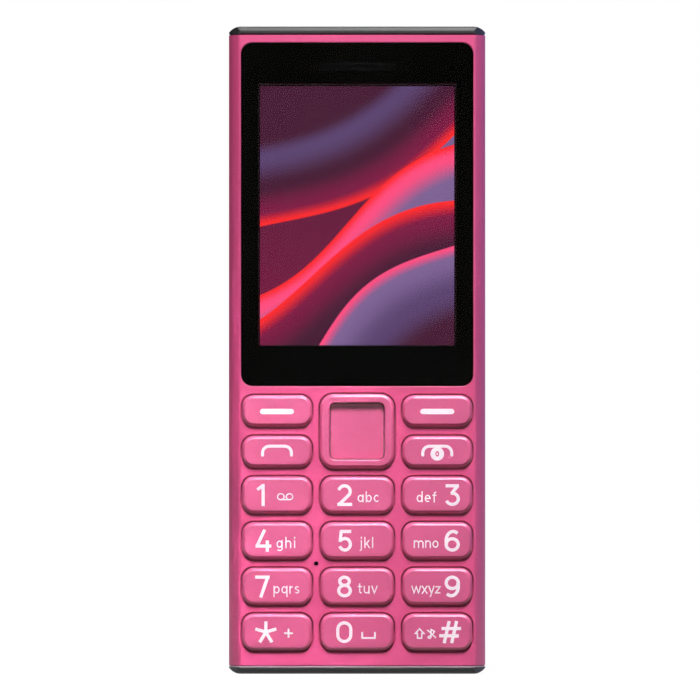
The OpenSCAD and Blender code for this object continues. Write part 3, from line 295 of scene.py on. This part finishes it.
def reach_along(tree, place, way):
    return add_node(tree, "VectorMath", {0: place, 1: way}, operation="DOT_PRODUCT").outputs["Value"]


for facing, start, swing, often, shift, width, stops in WAVES:
    turn = math.radians(facing)
    out = reach_along(tree, picture_place, (math.cos(turn), math.sin(turn), 0.0))
    side = reach_along(tree, picture_place, (-math.sin(turn), math.cos(turn), 0.0))
    sway = calc(tree, "SINE", calc(tree, "MULTIPLY_ADD", side, often, shift))
    inside = calc(tree, "SUBTRACT", calc(tree, "MULTIPLY_ADD", sway, swing, out), start)
    shown = remap(tree, inside, -WAVE_EDGE, WAVE_EDGE)
    wave = colour_run(tree, calc(tree, "DIVIDE", inside, width), stops)
    picture = blend_colours(tree, shown, picture, wave)
in_width = calc(tree, "LESS_THAN", calc(tree, "ABSOLUTE", half_widths_x), 1.0)
in_height = calc(tree, "LESS_THAN", calc(tree, "ABSOLUTE", half_widths_z), PICTURE_RATIO)
lit = calc(tree, "MULTIPLY", in_width, in_height)
tree.links.new(blend_colours(tree, lit, BLACK, picture), shader["Emission Color"])
tree.links.new(blend_colours(tree, lit, BORDER_BLACK, LIT_BLACK), shader["Base Color"])
dress(display_glass, "display_panel")
foam = moulded_finish(
    "foam", (0.02, 0.02, 0.021, 1.0), (0.006, 0.006, 0.006, 1.0),
    grain_scale=4200.0, roughness=0.9, spread=0.1, relief=0.0001,
)
dress(foam, "display_gasket")
white_frame = moulded_finish(
    "backlight_white", (0.82, 0.82, 0.79, 1.0), (0.74, 0.74, 0.71, 1.0),
    grain_scale=2400.0, roughness=0.5, spread=0.2, relief=0.00001,
)
dress(white_frame, "display_backlight")
flex_film = moulded_finish(
    "flex_film", (0.42, 0.19, 0.035, 1.0), (0.30, 0.12, 0.02, 1.0),
    grain_scale=1500.0, roughness=0.32, spread=0.2, relief=0.00001,
)
dress(flex_film, "display_ribbon")

# Keypad layers: a silicone mat with a post under each key, steel snap domes and the clear film over them.
# The film is stuck to the board, and the mat lies loose between it and the keys.
silicone = moulded_finish(
    "silicone", (0.62, 0.62, 0.60, 1.0), (0.52, 0.52, 0.50, 1.0),
    grain_scale=1900.0, roughness=0.55, spread=0.2, relief=0.00002,
    sockets={"Subsurface Weight": 0.2, "Subsurface Scale": 0.0006},
)
dress(silicone, "key_mat")
dome_steel = metal_finish(
    "dome_steel", (0.70, 0.70, 0.69, 1.0), (0.55, 0.55, 0.54, 1.0), lines=4200.0, roughness=0.18
)
dress(dome_steel, "key_domes")
clear_film = moulded_finish(
    "clear_film", (0.78, 0.82, 0.85, 1.0), (0.70, 0.74, 0.77, 1.0),
    grain_scale=900.0, roughness=0.2, spread=0.15, relief=0.00001,
    sockets={"Alpha": 0.55},
)
dress(clear_film, "dome_film")

# Keys: sixteen pink caps from one tool, a little glossier than the cover, with a bulging bevel and a flange.
# The legends are pad printed in white ink that stands two hundredths of a millimetre proud.
# The ink is given a faint painted glow, standing in for light from inside the phone; no lamp lights it.
# Strokes are drawn in millimetres.
pink_keys = moulded_finish(
    "pink_keys", (0.765, 0.124, 0.302, 1.0), (0.73, 0.110, 0.279, 1.0),
    grain_scale=2800.0, roughness=0.22, spread=0.05, relief=0.000001,
    sockets={"Specular IOR Level": 0.7},
)
MM = 0.001
INK_PROUD = 0.018 * MM
INK_SUNK = 0.006 * MM
INK_LAYER = 0.003 * MM
DIGIT_INK = 0.6
DIGIT_BASE = -2.08
DIGIT_H = 4.16
LETTER_INK = 0.22
LETTER_BASE = -1.38
DEGREES_A_STEP = 11
FEWEST_STEPS = 4
white_ink_painted_glow = moulded_finish(
    "legend_ink", (0.99, 0.87, 0.95, 1.0), (0.95, 0.82, 0.905, 1.0),
    grain_scale=5200.0, roughness=0.5, spread=0.2, relief=0.00001,
    # Emission: the ink's faint painted glow
    sockets={"Emission Color": (1.0, 0.7, 0.9, 1.0), "Emission Strength": 0.13},
)


def arc(x, z, rx, rz, first, last):
    steps = max(FEWEST_STEPS, round(abs(last - first) / DEGREES_A_STEP))
    turns = [math.radians(first + (last - first) * step / steps) for step in range(steps + 1)]
    return [(x + rx * math.cos(turn), z + rz * math.sin(turn)) for turn in turns]


def ring(x, z, rx, rz):
    return arc(x, z, rx, rz, 0, 360)


DIGITS = {
    "1": [[(1.37, 0), (1.37, DIGIT_H)], [(0.26, 3.08), (1.3, 3.86)]],
    "2": [arc(1.4, 2.77, 1.07, 1.06, 168, -40) + [(0.42, 0.36)], [(0.05, 0.33), (2.85, 0.33)]],
    "3": [
        [(0.12, 3.83), (2.62, 3.83)],
        [(2.48, 3.9), (1.22, 2.36)],
        [(1.1, 2.42)] + arc(1.38, 1.38, 1.13, 1.05, 90, -160),
    ],
    "4": [[(1.82, DIGIT_H), (0.36, 1.12)], [(0.08, 1.08), (3.05, 1.08)], [(2.3, 2.15), (2.3, 0)]],
    "5": [
        [(0.5, 3.83), (2.58, 3.83)],
        [(0.72, 4.0), (0.5, 1.86)],
        [(0.42, 2.05)] + arc(1.4, 1.42, 1.02, 1.09, 132, -160),
    ],
    "6": [ring(1.475, 1.4, 1.145, 1.07), arc(1.66, 2.1, 1.33, 1.73, 205, 52)],
    "7": [[(0, 3.83), (2.75, 3.83)], [(2.42, 3.95), (1.05, 0)]],
    "8": [ring(1.425, 3.06, 0.90, 0.77), ring(1.425, 1.31, 1.09, 0.98)],
    "0": [arc(1.55, 2.6, 1.22, 1.23, 0, 180) + arc(1.55, 1.56, 1.22, 1.23, 180, 360) + [(2.77, 2.6)]],
}
SIX_W = 2.95
DIGITS["9"] = [[(SIX_W - x, DIGIT_H - z) for x, z in stroke] for stroke in DIGITS["6"]]
# Each sign's width of stroke and strokes
SIGNS = {
    "star": (DIGIT_INK, [
        [(2.1, 2.1), (2.1, 4.1)],
        [(2.1, 2.1), (0.12, 2.68)],
        [(2.1, 2.1), (4.08, 2.68)],
        [(2.1, 2.1), (0.94, 0.16)],
        [(2.1, 2.1), (3.26, 0.16)],
    ]),
    "hash": (DIGIT_INK, [
        [(1.86, DIGIT_H), (0.92, 0)],
        [(3.26, DIGIT_H), (2.32, 0)],
        [(0.42, 2.76), (4.1, 2.76)],
        [(0.0, 1.4), (3.68, 1.4)],
    ]),
    "plus": (0.34, [[(0.85, 1.02), (0.85, 2.72)], [(0, 1.87), (1.7, 1.87)]]),
    "space": (0.34, [[(0.2, 2.1), (0.2, 0.98), (2.6, 0.98), (2.6, 2.1)]]),
    "mail": (0.24, [
        ring(0.92, 1.78, 0.62, 0.56),
        ring(2.56, 1.78, 0.62, 0.56),
        [(0.92, 1.22), (2.56, 1.22)],
    ]),
    "shift": (0.25, [[
        (0.55, 0.95), (1.35, 0.95), (1.35, 1.85), (1.74, 1.85),
        (0.95, 2.72), (0.16, 1.85), (0.55, 1.85), (0.55, 0.95),
    ]]),
    "note": (0.25, [
        ring(0.5, 1.12, 0.24, 0.2),
        [(0.8, 1.1), (0.8, 2.7)],
        [(0.8, 2.6), (1.45, 2.2), (1.2, 1.75)],
        [(0.1, 2.5), (1.75, 1.0)],
    ]),
}
# Each letter's width and strokes
LETTERS = {
    "a": (1.28, [ring(0.62, 0.75, 0.44, 0.57), [(1.10, 0), (1.10, 1.5)]]),
    "b": (1.28, [[(0.18, 0), (0.18, 2.1)], ring(0.66, 0.75, 0.44, 0.57)]),
    "c": (1.10, [arc(0.62, 0.75, 0.44, 0.57, 48, 312)]),
    "d": (1.28, [ring(0.62, 0.75, 0.44, 0.57), [(1.10, 0), (1.10, 2.1)]]),
    "e": (1.24, [arc(0.62, 0.75, 0.44, 0.57, 0, 308), [(0.2, 0.75), (1.2, 0.75)]]),
    "f": (0.85, [
        [(0.38, 0), (0.38, 1.6)] + arc(0.74, 1.6, 0.36, 0.33, 180, 88),
        [(0.02, 1.36), (0.8, 1.36)],
    ]),
    "g": (1.28, [
        ring(0.62, 0.75, 0.44, 0.57),
        [(1.10, 1.5), (1.10, -0.08)] + arc(0.64, -0.08, 0.46, 0.36, 0, -150),
    ]),
    "h": (1.24, [[(0.18, 0), (0.18, 2.1)], arc(0.62, 0.86, 0.44, 0.48, 180, 0) + [(1.06, 0)]]),
    "i": (0.36, [[(0.18, 0), (0.18, 1.5)], [(0.18, 1.78), (0.18, 2.14)]]),
    "j": (0.62, [
        [(0.44, 1.5), (0.44, -0.2)] + arc(0.14, -0.2, 0.3, 0.26, 0, -92),
        [(0.44, 1.78), (0.44, 2.14)],
    ]),
    "k": (1.15, [[(0.18, 0), (0.18, 2.1)], [(0.22, 0.6), (1.0, 1.5)], [(0.48, 0.9), (1.08, 0)]]),
    "l": (0.36, [[(0.18, 0), (0.18, 2.1)]]),
    "m": (2.0, [
        [(0.18, 0), (0.18, 1.5)],
        arc(0.58, 0.9, 0.4, 0.44, 180, 0) + [(0.98, 0)],
        arc(1.4, 0.9, 0.42, 0.44, 180, 0) + [(1.82, 0)],
    ]),
    "n": (1.24, [[(0.18, 0), (0.18, 1.5)], arc(0.62, 0.88, 0.44, 0.46, 180, 0) + [(1.06, 0)]]),
    "o": (1.28, [ring(0.64, 0.75, 0.46, 0.57)]),
    "p": (1.28, [[(0.18, -0.6), (0.18, 1.5)], ring(0.66, 0.75, 0.44, 0.57)]),
    "q": (1.28, [ring(0.62, 0.75, 0.44, 0.57), [(1.10, -0.6), (1.10, 1.5)]]),
    "r": (0.8, [[(0.18, 0), (0.18, 1.5)], arc(0.68, 0.82, 0.5, 0.5, 180, 85)]),
    "s": (1.0, [arc(0.5, 1.07, 0.32, 0.25, 35, 262) + arc(0.5, 0.44, 0.34, 0.27, 82, -148)]),
    "t": (0.85, [
        [(0.38, 1.95), (0.38, 0.46)] + arc(0.7, 0.46, 0.32, 0.28, 180, 278),
        [(0.02, 1.36), (0.8, 1.36)],
    ]),
    "u": (1.24, [[(0.18, 1.5)] + arc(0.62, 0.62, 0.44, 0.45, 180, 360), [(1.06, 0), (1.06, 1.5)]]),
    "v": (1.25, [[(0.12, 1.52), (0.62, 0.1), (1.13, 1.52)]]),
    "w": (1.85, [[(0.1, 1.52), (0.5, 0.14), (0.92, 1.36), (1.35, 0.14), (1.75, 1.52)]]),
    "x": (1.2, [[(0.1, 1.5), (1.1, 0)], [(1.1, 1.5), (0.1, 0)]]),
    "y": (1.25, [[(0.12, 1.52), (0.64, 0.12)], [(1.15, 1.52), (0.42, -0.6)]]),
    "z": (1.1, [[(0.1, 1.32), (0.96, 1.32), (0.14, 0.18), (1.02, 0.18)]]),
}


def close_prism(mesh, loops, top, base):
    """Fills the strip between two outlines of equal length with a thin closed layer of ink."""
    layers = [[[mesh.verts.new((x, y, z)) for x, z in loop] for loop in loops] for y in (base, top)]
    count = len(loops[0])
    for here in range(count - 1):
        after = here + 1
        (low_a, low_b), (high_a, high_b) = layers
        mesh.faces.new((high_a[here], high_a[after], high_b[after], high_b[here]))
        mesh.faces.new((low_a[after], low_a[here], low_b[here], low_b[after]))
        mesh.faces.new((low_a[here], low_a[after], high_a[after], high_a[here]))
        mesh.faces.new((low_b[after], low_b[here], high_b[here], high_b[after]))
    if loops[0][0] != loops[0][-1]:
        for end in (0, count - 1):
            mesh.faces.new([layers[0][0][end], layers[1][0][end], layers[1][1][end], layers[0][1][end]])


# No stroke starts at the far off point, so the first point of each stroke is kept
FAR_OFF = (9.0, 9.0)
APART = 1e-4
TOUCHING = 1e-6
LEAST_MITRE = 0.4


def stroke_sides(points, width):
    """Both edges of a stroke of even width, with mitred corners."""
    points = [here for before, here in zip([FAR_OFF] + points, points) if math.dist(before, here) > APART]
    closed = math.dist(points[0], points[-1]) < TOUCHING
    count = len(points)
    sides = ([], [])
    for here in range(count):
        before = points[here - 1] if here else (points[-2] if closed else None)
        after = points[here + 1] if here < count - 1 else (points[1] if closed else None)
        ways = [
            Vector((b[0] - a[0], b[1] - a[1])).normalized()
            for a, b in ((before, points[here]), (points[here], after)) if a and b
        ]
        along = sum(ways, Vector((0.0, 0.0))).normalized()
        reach = width / 2 / max(LEAST_MITRE, along.dot(ways[0]))
        for side, sign in zip(sides, (1, -1)):
            side.append((points[here][0] - sign * along.y * reach, points[here][1] + sign * along.x * reach))
    return sides


def print_strokes(mesh, strokes, width, left, base, top):
    for number, stroke in enumerate(strokes):
        loops = stroke_sides(stroke, width)
        placed = [[((left + x) * MM, (base + z) * MM) for x, z in loop] for loop in loops]
        close_prism(mesh, placed, top - number * INK_LAYER, top + INK_PROUD + INK_SUNK)


def print_disc(mesh, x, z, radius, top, hole=(0.0, 0.0)):
    turns = ring(0, 0, 1, 1)
    outer = [((x + radius * a) * MM, (z + radius * b) * MM) for a, b in turns]
    inner = [((x + hole[0] * a) * MM, (z + hole[1] * b) * MM) for a, b in turns]
    close_prism(mesh, (outer, inner), top, top + INK_PROUD + INK_SUNK)


def print_word(mesh, word, left, right, base, top):
    gaps = max(1, len(word) - 1)
    spare = (right - left - sum(LETTERS[letter][0] for letter in word)) / gaps
    for letter in word:
        width, strokes = LETTERS[letter]
        print_strokes(mesh, strokes, LETTER_INK, left, base, top)
        left += width + spare


def print_dash(mesh, top):
    half_l, half_t, drop = 2.69, 0.51, -0.11
    print_strokes(mesh, [[(-half_l, drop), (half_l, drop)]], 2 * half_t, 0, 0, top)
    for side in (-1, 1):
        print_disc(mesh, side * half_l, drop, half_t, top + INK_LAYER)


def print_hook(mesh, top):
    half_w, high, low = 3.0, 1.3, -0.95
    ink, bend_r = 0.56, 1.25
    edge, roof = half_w - ink / 2, high - ink / 2
    path = [(-edge, low + ink / 2)] + arc(bend_r - edge, roof - bend_r, bend_r, bend_r, 180, 90)
    path += [(-x, z) for x, z in reversed(path)]
    print_strokes(mesh, [path], ink, 0, 0, top)
    for side in (-1, 1):
        print_disc(mesh, side * edge, low + ink / 2, ink / 2, top + INK_LAYER)


def print_lamp(mesh, top):
    drop, radius, hole = -0.42, 1.28, (0.36, 0.52)
    bar_half, bar_ink = 0.2, 0.26
    print_disc(mesh, 0, drop, radius, top - INK_LAYER, hole)
    print_strokes(mesh, [[(0, -bar_half), (0, bar_half)]], bar_ink, 0, drop, top)


DRAWN = {"dash": print_dash, "hook": print_hook, "lamp": print_lamp}
# What is printed on each key: a digit or sign with its left end, or a word with both its ends,
# from the key's middle, or a drawing that stands on the middle itself
LEGENDS = {
    "key_1": (("1", -3.98), ("mail", -0.2)),
    "key_2": (("2", -3.78), ("abc", 0.02, 4.16)),
    "key_3": (("def", -3.95, -0.1), ("3", 1.45)),
    "key_4": (("4", -4.12), ("ghi", -0.15, 3.5)),
    "key_5": (("5", -3.7), ("jkl", 0.36, 3.1)),
    "key_6": (("mno", -4.5, 0.3), ("6", 1.33)),
    "key_7": (("7", -4.12), ("pqrs", -0.72, 4.28)),
    "key_8": (("8", -3.8), ("tuv", 0.1, 3.88)),
    "key_9": (("wxyz", -4.88, 0.66), ("9", 1.35)),
    "key_star": (("star", -4.2), ("plus", 1.32)),
    "key_0": (("0", -3.97), ("space", 0.75)),
    "key_hash": (("shift", -4.28), ("note", -1.98), ("hash", 0.38)),
    "key_soft_left": (("dash",),),
    "key_soft_right": (("dash",),),
    "key_call": (("hook",),),
    "key_end": (("hook",), ("lamp",)),
}
for key, signs in LEGENDS.items():
    dress(pink_keys, key)
    key_low, key_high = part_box(key)
    face = key_low.y - INK_PROUD
    print_mesh = bmesh.new()
    for sign, *ends in signs:
        if sign in DRAWN:
            DRAWN[sign](print_mesh, face)
        elif sign in DIGITS:
            print_strokes(print_mesh, DIGITS[sign], DIGIT_INK, *ends, DIGIT_BASE, face)
        elif sign in SIGNS:
            ink, strokes = SIGNS[sign]
            print_strokes(print_mesh, strokes, ink, *ends, DIGIT_BASE, face)
        else:
            print_word(print_mesh, sign, *ends, LETTER_BASE, face)
    bmesh.ops.recalc_face_normals(print_mesh, faces=print_mesh.faces)
    legend = bpy.data.objects.new("legend_" + key, bpy.data.meshes.new("legend_" + key))
    print_mesh.to_mesh(legend.data)
    print_mesh.free()
    legend.data.transform(Matrix.Translation(((key_low.x + key_high.x) / 2, 0, (key_low.z + key_high.z) / 2)))
    legend.data.materials.append(white_ink_painted_glow)
    bpy.context.scene.collection.objects.link(legend)
    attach(legend, key)

# Direction pad: a square pink ring that rocks on a resin plate, with the select key sunk in its middle.
# Ring and plate rock on two crossed ridges, and the select key's stem passes through both to its dome.
dress(pink_keys, "nav_ring", "nav_select")
rocker_resin = moulded_finish(
    "rocker_resin", (0.70, 0.70, 0.67, 1.0), (0.61, 0.61, 0.58, 1.0),
    grain_scale=1700.0, roughness=0.45, spread=0.2, relief=0.00002,
)
dress(rocker_resin, "nav_rocker")

# Main board: green glass epoxy with copper tracks under the solder mask, and the parts soldered to it.
# Steel cans and card cages, gilt contacts, the sockets, the microphone, the motor, the camera and the lamp.
board_green, tree, shader = plain_finish("board_green", {"Specular IOR Level": 0.5})
VIA_SIZE = 0.13
MASK_ROUGHNESS = 0.22
SPECK_ROUGHNESS = 0.2
MASK_DARK = (0.010, 0.085, 0.040, 1.0)
MASK_PALE = (0.016, 0.125, 0.058, 1.0)
TRACK_GREEN = (0.030, 0.19, 0.085, 1.0)
VIA_COPPER = (0.55, 0.38, 0.13, 1.0)
place = piece_place(tree)
flat = add_node(tree, "Mapping", {"Vector": place, "Rotation": (math.pi / 2, 0.0, 0.0)}).outputs[0]
tracks = add_node(
    tree, "TexBrick",
    {"Vector": flat, "Scale": 420.0, "Mortar Size": 0.05, "Mortar Smooth": 0.2, "Bias": 0.0},
    offset=0.35, squash=0.6,
)
cells = add_node(tree, "TexVoronoi", {"Vector": flat, "Scale": 380.0}, feature="F1")
via = calc(tree, "LESS_THAN", cells.outputs["Distance"], VIA_SIZE)
speck = noise(tree, place, scale=1500.0, detail=3.0)
mask_colour = blend_colours(tree, speck, MASK_DARK, MASK_PALE)
with_tracks = blend_colours(tree, tracks.outputs["Fac"], mask_colour, TRACK_GREEN)
tree.links.new(blend_colours(tree, via, with_tracks, VIA_COPPER), shader["Base Color"])
tree.links.new(calc(tree, "MULTIPLY_ADD", speck, SPECK_ROUGHNESS, MASK_ROUGHNESS), shader["Roughness"])
raised = add_node(tree, "Bump", {"Strength": 0.4, "Distance": 0.00004, "Height": tracks.outputs["Fac"]})
tree.links.new(raised.outputs["Normal"], shader["Normal"])
dress(board_green, "main_board")
dress(sheet_steel, "shield_cans", "sim_sockets", "card_socket", "usb_socket", "vibration_motor")
contact_gold = metal_finish(
    "contact_gold", (0.83, 0.60, 0.24, 1.0), (0.66, 0.46, 0.17, 1.0), lines=3000.0, roughness=0.22
)
dress(contact_gold, "battery_contacts", "antenna")
black_rubber = moulded_finish(
    "black_rubber", (0.018, 0.018, 0.019, 1.0), (0.011, 0.011, 0.012, 1.0),
    grain_scale=2200.0, roughness=0.7, spread=0.2, relief=0.00003,
)
dress(black_rubber, "mic_boot")
black_plastic = moulded_finish(
    "black_plastic", (0.022, 0.022, 0.024, 1.0), (0.014, 0.014, 0.016, 1.0),
    grain_scale=2400.0, roughness=0.48, spread=0.25, relief=0.00004,
)
dress(black_plastic, "audio_jack", "camera_module", "microphone")
lamp_yellow = moulded_finish(
    "lamp_yellow", (0.80, 0.72, 0.28, 1.0), (0.72, 0.60, 0.16, 1.0),
    grain_scale=2600.0, roughness=0.35, spread=0.2, relief=0.00001,
)
dress(lamp_yellow, "flash_led")

# Chassis: black glass filled nylon with the battery bay and the upper deck, screwed to the front cover.
# It holds the oval loudspeaker in a pocket and carries the stamped antenna on its lower end.
dress(black_plastic, "chassis", "loudspeaker")
screw_steel = metal_finish(
    "screw_steel", (0.36, 0.37, 0.39, 1.0), (0.24, 0.25, 0.27, 1.0), lines=5200.0, roughness=0.3
)
dress(screw_steel, "screws")

# Battery: a flat lithium cell in a drawn aluminium can, wrapped in a plain grey film without print.
# It lies loose in its bay against three sprung contacts.
battery_can = moulded_finish(
    "battery_can", (0.56, 0.57, 0.59, 1.0), (0.47, 0.48, 0.50, 1.0),
    grain_scale=1400.0, roughness=0.36, spread=0.25, relief=0.00002,
)
dress(battery_can, "battery")

# Camera: an anodised ring in the upper deck with a round dark window, and the flash's clear lens below it.
# All three stay with the phone when the battery cover comes off.
bezel_metal = metal_finish(
    "bezel_metal", (0.12, 0.12, 0.13, 1.0), (0.08, 0.08, 0.09, 1.0), lines=3600.0, roughness=0.28
)
dress(bezel_metal, "camera_bezel")
camera_glass, tree, shader = plain_finish(
    "camera_glass", {"Coat Weight": 0.6, "Coat Roughness": 0.03, "Specular IOR Level": 0.1}
)
GLASS_ROUGHNESS = 0.05
DUST_ROUGHNESS = 0.12
centre_low, centre_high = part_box("camera_window")
centre = (centre_low + centre_high) / 2
place = piece_place(tree)
from_middle = add_node(tree, "VectorMath", {0: place, 1: centre}, operation="DISTANCE").outputs["Value"]
rings = colour_run(tree, calc(tree, "DIVIDE", from_middle, (centre_high.x - centre_low.x) / 2), (
    (0.0, (0.030, 0.022, 0.060, 1.0)), (0.30, (0.012, 0.016, 0.030, 1.0)), (0.34, (0.05, 0.05, 0.055, 1.0)),
    (0.40, (0.006, 0.006, 0.007, 1.0)), (1.0, (0.010, 0.010, 0.012, 1.0)),
))
tree.links.new(rings, shader["Base Color"])
dusty = noise(tree, place, scale=900.0, detail=3.0)
tree.links.new(calc(tree, "MULTIPLY_ADD", dusty, DUST_ROUGHNESS, GLASS_ROUGHNESS), shader["Roughness"])
dress(camera_glass, "camera_window")
flash_plastic = moulded_finish(
    "flash_plastic", (0.90, 0.90, 0.88, 1.0), (0.82, 0.82, 0.78, 1.0),
    grain_scale=1300.0, roughness=0.18, spread=0.2, relief=0.00005,
    sockets={"Transmission Weight": 0.5, "IOR": 1.49},
)
dress(flash_plastic, "flash_lens")

# Battery cover: the pink rear shell that clips over the chassis, moulded like the front cover.
# It has slots for the loudspeaker, with a fine black net stuck inside behind them, and a thumb notch.
dress(pink_shell, "battery_cover")
dress(dark_net, "speaker_mesh")

# End caps: dark grey satin mouldings that plug both ends of the covers.
# The top one has the hole for the headphone socket, the bottom one the slot for the charging socket.
# The bottom cap's upper rim has a narrow pale band painted along its lip as a highlight.
grey_cap = moulded_finish(
    "grey_cap", (0.036, 0.037, 0.039, 1.0), (0.028, 0.029, 0.031, 1.0),
    grain_scale=3000.0, roughness=0.42, spread=0.10, relief=0.000006,
    sockets={"Specular IOR Level": 0.32},
)
dress(grey_cap, "top_cap")
LIP_FOOT = 0.00125
LIP_TOP = 0.00149
LIP_FADE = 0.00004
LIP_HIGHLIGHT_PALE = (0.60, 0.47, 0.53, 1.0)
# A copy of the grey cap with a painted highlight: its lip band is coloured pale.
painted_lip_highlight = grey_cap.copy()
painted_lip_highlight.name = "painted_lip_highlight"
tree = painted_lip_highlight.node_tree
shader = tree.nodes["Principled BSDF"].inputs
grey = shader["Base Color"].links[0].from_socket
rise = add_node(tree, "SeparateXYZ", {0: piece_place(tree)}).outputs["Z"]
above_foot = remap(tree, rise, LIP_FOOT, LIP_FOOT + LIP_FADE)
on_lip_highlight = calc(tree, "MULTIPLY", above_foot, calc(tree, "LESS_THAN", rise, LIP_TOP))
tree.links.new(blend_colours(tree, on_lip_highlight, grey, LIP_HIGHLIGHT_PALE), shader["Base Color"])
dress(painted_lip_highlight, "bottom_cap")

# Studio: a plain floor and room, white where camera, gloss and glass see them, with a soft key lamp high in
# front, a narrow pool of light on the left and two lamps behind. Only gloss sees the lamp at the upper right
# and three cloths, of which the right one is violet.
FLOOR_HALF = 3.0
FLOOR_DROP = 0.0001
FLOOR_DARK = (0.06, 0.06, 0.06, 1.0)
FLOOR_PALE = (0.07, 0.07, 0.07, 1.0)


def stage_plane(name, cuts, half):
    grid = bmesh.new()
    bmesh.ops.create_grid(grid, x_segments=cuts, y_segments=cuts, size=half)
    plane = bpy.data.objects.new(name, bpy.data.meshes.new(name))
    grid.to_mesh(plane.data)
    grid.free()
    return plane


floor = stage_plane("studio_floor", cuts=8, half=FLOOR_HALF)
floor.location.z = -FLOOR_DROP
pale_floor, tree, shader = plain_finish("pale_floor", {"Roughness": 0.9, "Specular IOR Level": 0.0})
place = piece_place(tree)
paper = noise(tree, place, scale=400.0, detail=3.0)
tree.links.new(blend_colours(tree, paper, FLOOR_DARK, FLOOR_PALE), shader["Base Color"])


def seen_white(tree):
    rays = add_node(tree, "LightPath").outputs
    seen = calc(tree, "MAXIMUM", rays["Is Camera Ray"], rays["Is Glossy Ray"])
    return calc(tree, "MAXIMUM", seen, rays["Is Transmission Ray"])


# The floor's white glow is weaker near the phone: painted shade on the floor around the phone's foot.
from_phone = add_node(tree, "VectorMath", {0: place}, operation="LENGTH").outputs["Value"]
glow = remap(tree, from_phone, low=0.1, high=0.5, to_low=0.92)
strength = calc(tree, "MULTIPLY", seen_white(tree), glow)
white_glow = add_node(tree, "Emission", {"Strength": strength}).outputs[0]
both = add_node(tree, "AddShader", {0: white_glow, 1: tree.nodes["Principled BSDF"].outputs[0]}).outputs[0]
tree.links.new(both, tree.nodes["Material Output"].inputs["Surface"])
floor.data.materials.append(pale_floor)
bpy.context.scene.collection.objects.link(floor)

ROOM_DIM = (0.016, 0.015, 0.018, 1.0)
world = bpy.data.worlds.new("studio_room")
bpy.context.scene.world = world
world.use_nodes = True
tree = world.node_tree
room = tree.nodes["Background"]
room.inputs["Color"].default_value = ROOM_DIM
white_room = add_node(tree, "Background", {"Color": (1.0, 1.0, 1.0, 1.0), "Strength": 1.0})
shown = add_node(tree, "MixShader", {0: seen_white(tree), 1: room.outputs[0], 2: white_room.outputs[0]})
tree.links.new(shown.outputs[0], tree.nodes["World Output"].inputs["Surface"])


def soft_lamp(name, place, target, size, watts, colour, spread=math.pi, unseen=()):
    lamp = bpy.data.lights.new(name, "AREA")
    lamp.shape = "RECTANGLE"
    lamp.size, lamp.size_y = size
    lamp.energy = watts
    lamp.color = colour
    lamp.spread = spread
    holder = bpy.data.objects.new(name, lamp)
    holder.location = place
    holder.rotation_euler = (Vector(target) - Vector(place)).to_track_quat("-Z", "Y").to_euler()
    for ray in unseen:
        setattr(holder, "visible_" + ray, False)
    bpy.context.scene.collection.objects.link(holder)


PHONE_MIDDLE = (0.0, 0.0, 0.06)
WARM_WHITE = (1.0, 0.985, 0.97)
SOFT_WHITE = (1.0, 0.99, 0.98)
POOL_SPREAD = math.radians(9)
soft_lamp(
    "key_lamp", (0.0, -0.41, 0.71), PHONE_MIDDLE, (0.20, 0.20), watts=8.7, colour=WARM_WHITE,
    unseen=("glossy",),
)
soft_lamp(
    "left_pool", (0.10, -0.41, 0.71), (-0.038, 0.0, -0.004), (0.04, 0.04), watts=0.021, colour=WARM_WHITE,
    spread=POOL_SPREAD, unseen=("glossy",),
)
soft_lamp(
    "overhead_lamp", (0.16, -0.12, 0.45), (0.15, -0.05, 0.06), (0.34, 0.34), watts=4.6, colour=SOFT_WHITE,
    unseen=("diffuse", "transmission"),
)
for side, across in (("left", -0.32), ("right", 0.32)):
    soft_lamp(
        "back_lamp_" + side, (across, 0.58, 0.42), PHONE_MIDDLE, (0.30, 0.30), watts=3.25, colour=SOFT_WHITE,
        unseen=("glossy",),
    )
CLOTH_DARK = (0.012, 0.012, 0.012, 1.0)
CLOTH_VIOLET = (0.50, 0.55, 1.60, 1.0)
UPRIGHT = math.pi / 2
# Each cloth: its side, its place, half its width, its turn and its colour
FLAGS = (
    ("left", (-0.3, 0.35, 0.2), 0.5, UPRIGHT, CLOTH_DARK),
    ("right", (0.3, 0.35, 0.2), 0.5, UPRIGHT, CLOTH_VIOLET),
    ("front", (0.0, -0.315, 0.0004), 0.30, 0.0, CLOTH_DARK),
)
for side, spot, half, turn, colour in FLAGS:
    flag = stage_plane("studio_flag_" + side, cuts=6, half=half)
    flag.data.transform(Matrix.Rotation(turn, 4, "Y"))
    flag.location = spot
    for ray in ("camera", "diffuse", "shadow", "transmission", "volume_scatter"):
        setattr(flag, "visible_" + ray, False)
    cloth, tree, shader = plain_finish(
        "studio_cloth_" + side,
        {"Base Color": BLACK, "Specular IOR Level": 0.0, "Emission Strength": 1.0},
    )
    weave = add_node(tree, "TexNoise", {"Scale": 900.0, "Detail": 3.0}).outputs[0]
    tree.links.new(blend_colours(tree, weave, colour, BLACK), shader["Emission Color"])
    flag.data.materials.append(cloth)
    bpy.context.scene.collection.objects.link(flag)

# View: a long lens, level with the middle of the phone and square to its front.
# The phone stands a little right of the middle of the picture, as in the photograph.
PHOTO_WIDTH = 0.1318
PHOTO_MIDDLE_X = -0.00134
PHOTO_MIDDLE_Z = 0.06099
DISTANCE = 2.5
SENSOR_WIDTH = 36.0
camera = bpy.data.objects.new("camera", bpy.data.cameras.new("camera"))
camera.data.sensor_width = SENSOR_WIDTH
camera.data.lens = SENSOR_WIDTH * DISTANCE / PHOTO_WIDTH
camera.data.clip_start = 0.1
camera.data.clip_end = 50.0
camera.location = (PHOTO_MIDDLE_X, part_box("front_cover")[0].y - DISTANCE, PHOTO_MIDDLE_Z)
camera.rotation_euler = (math.pi / 2, 0.0, 0.0)
bpy.context.scene.collection.objects.link(camera)
bpy.context.scene.camera = camera
bpy.context.scene.view_settings.view_transform = "Standard"
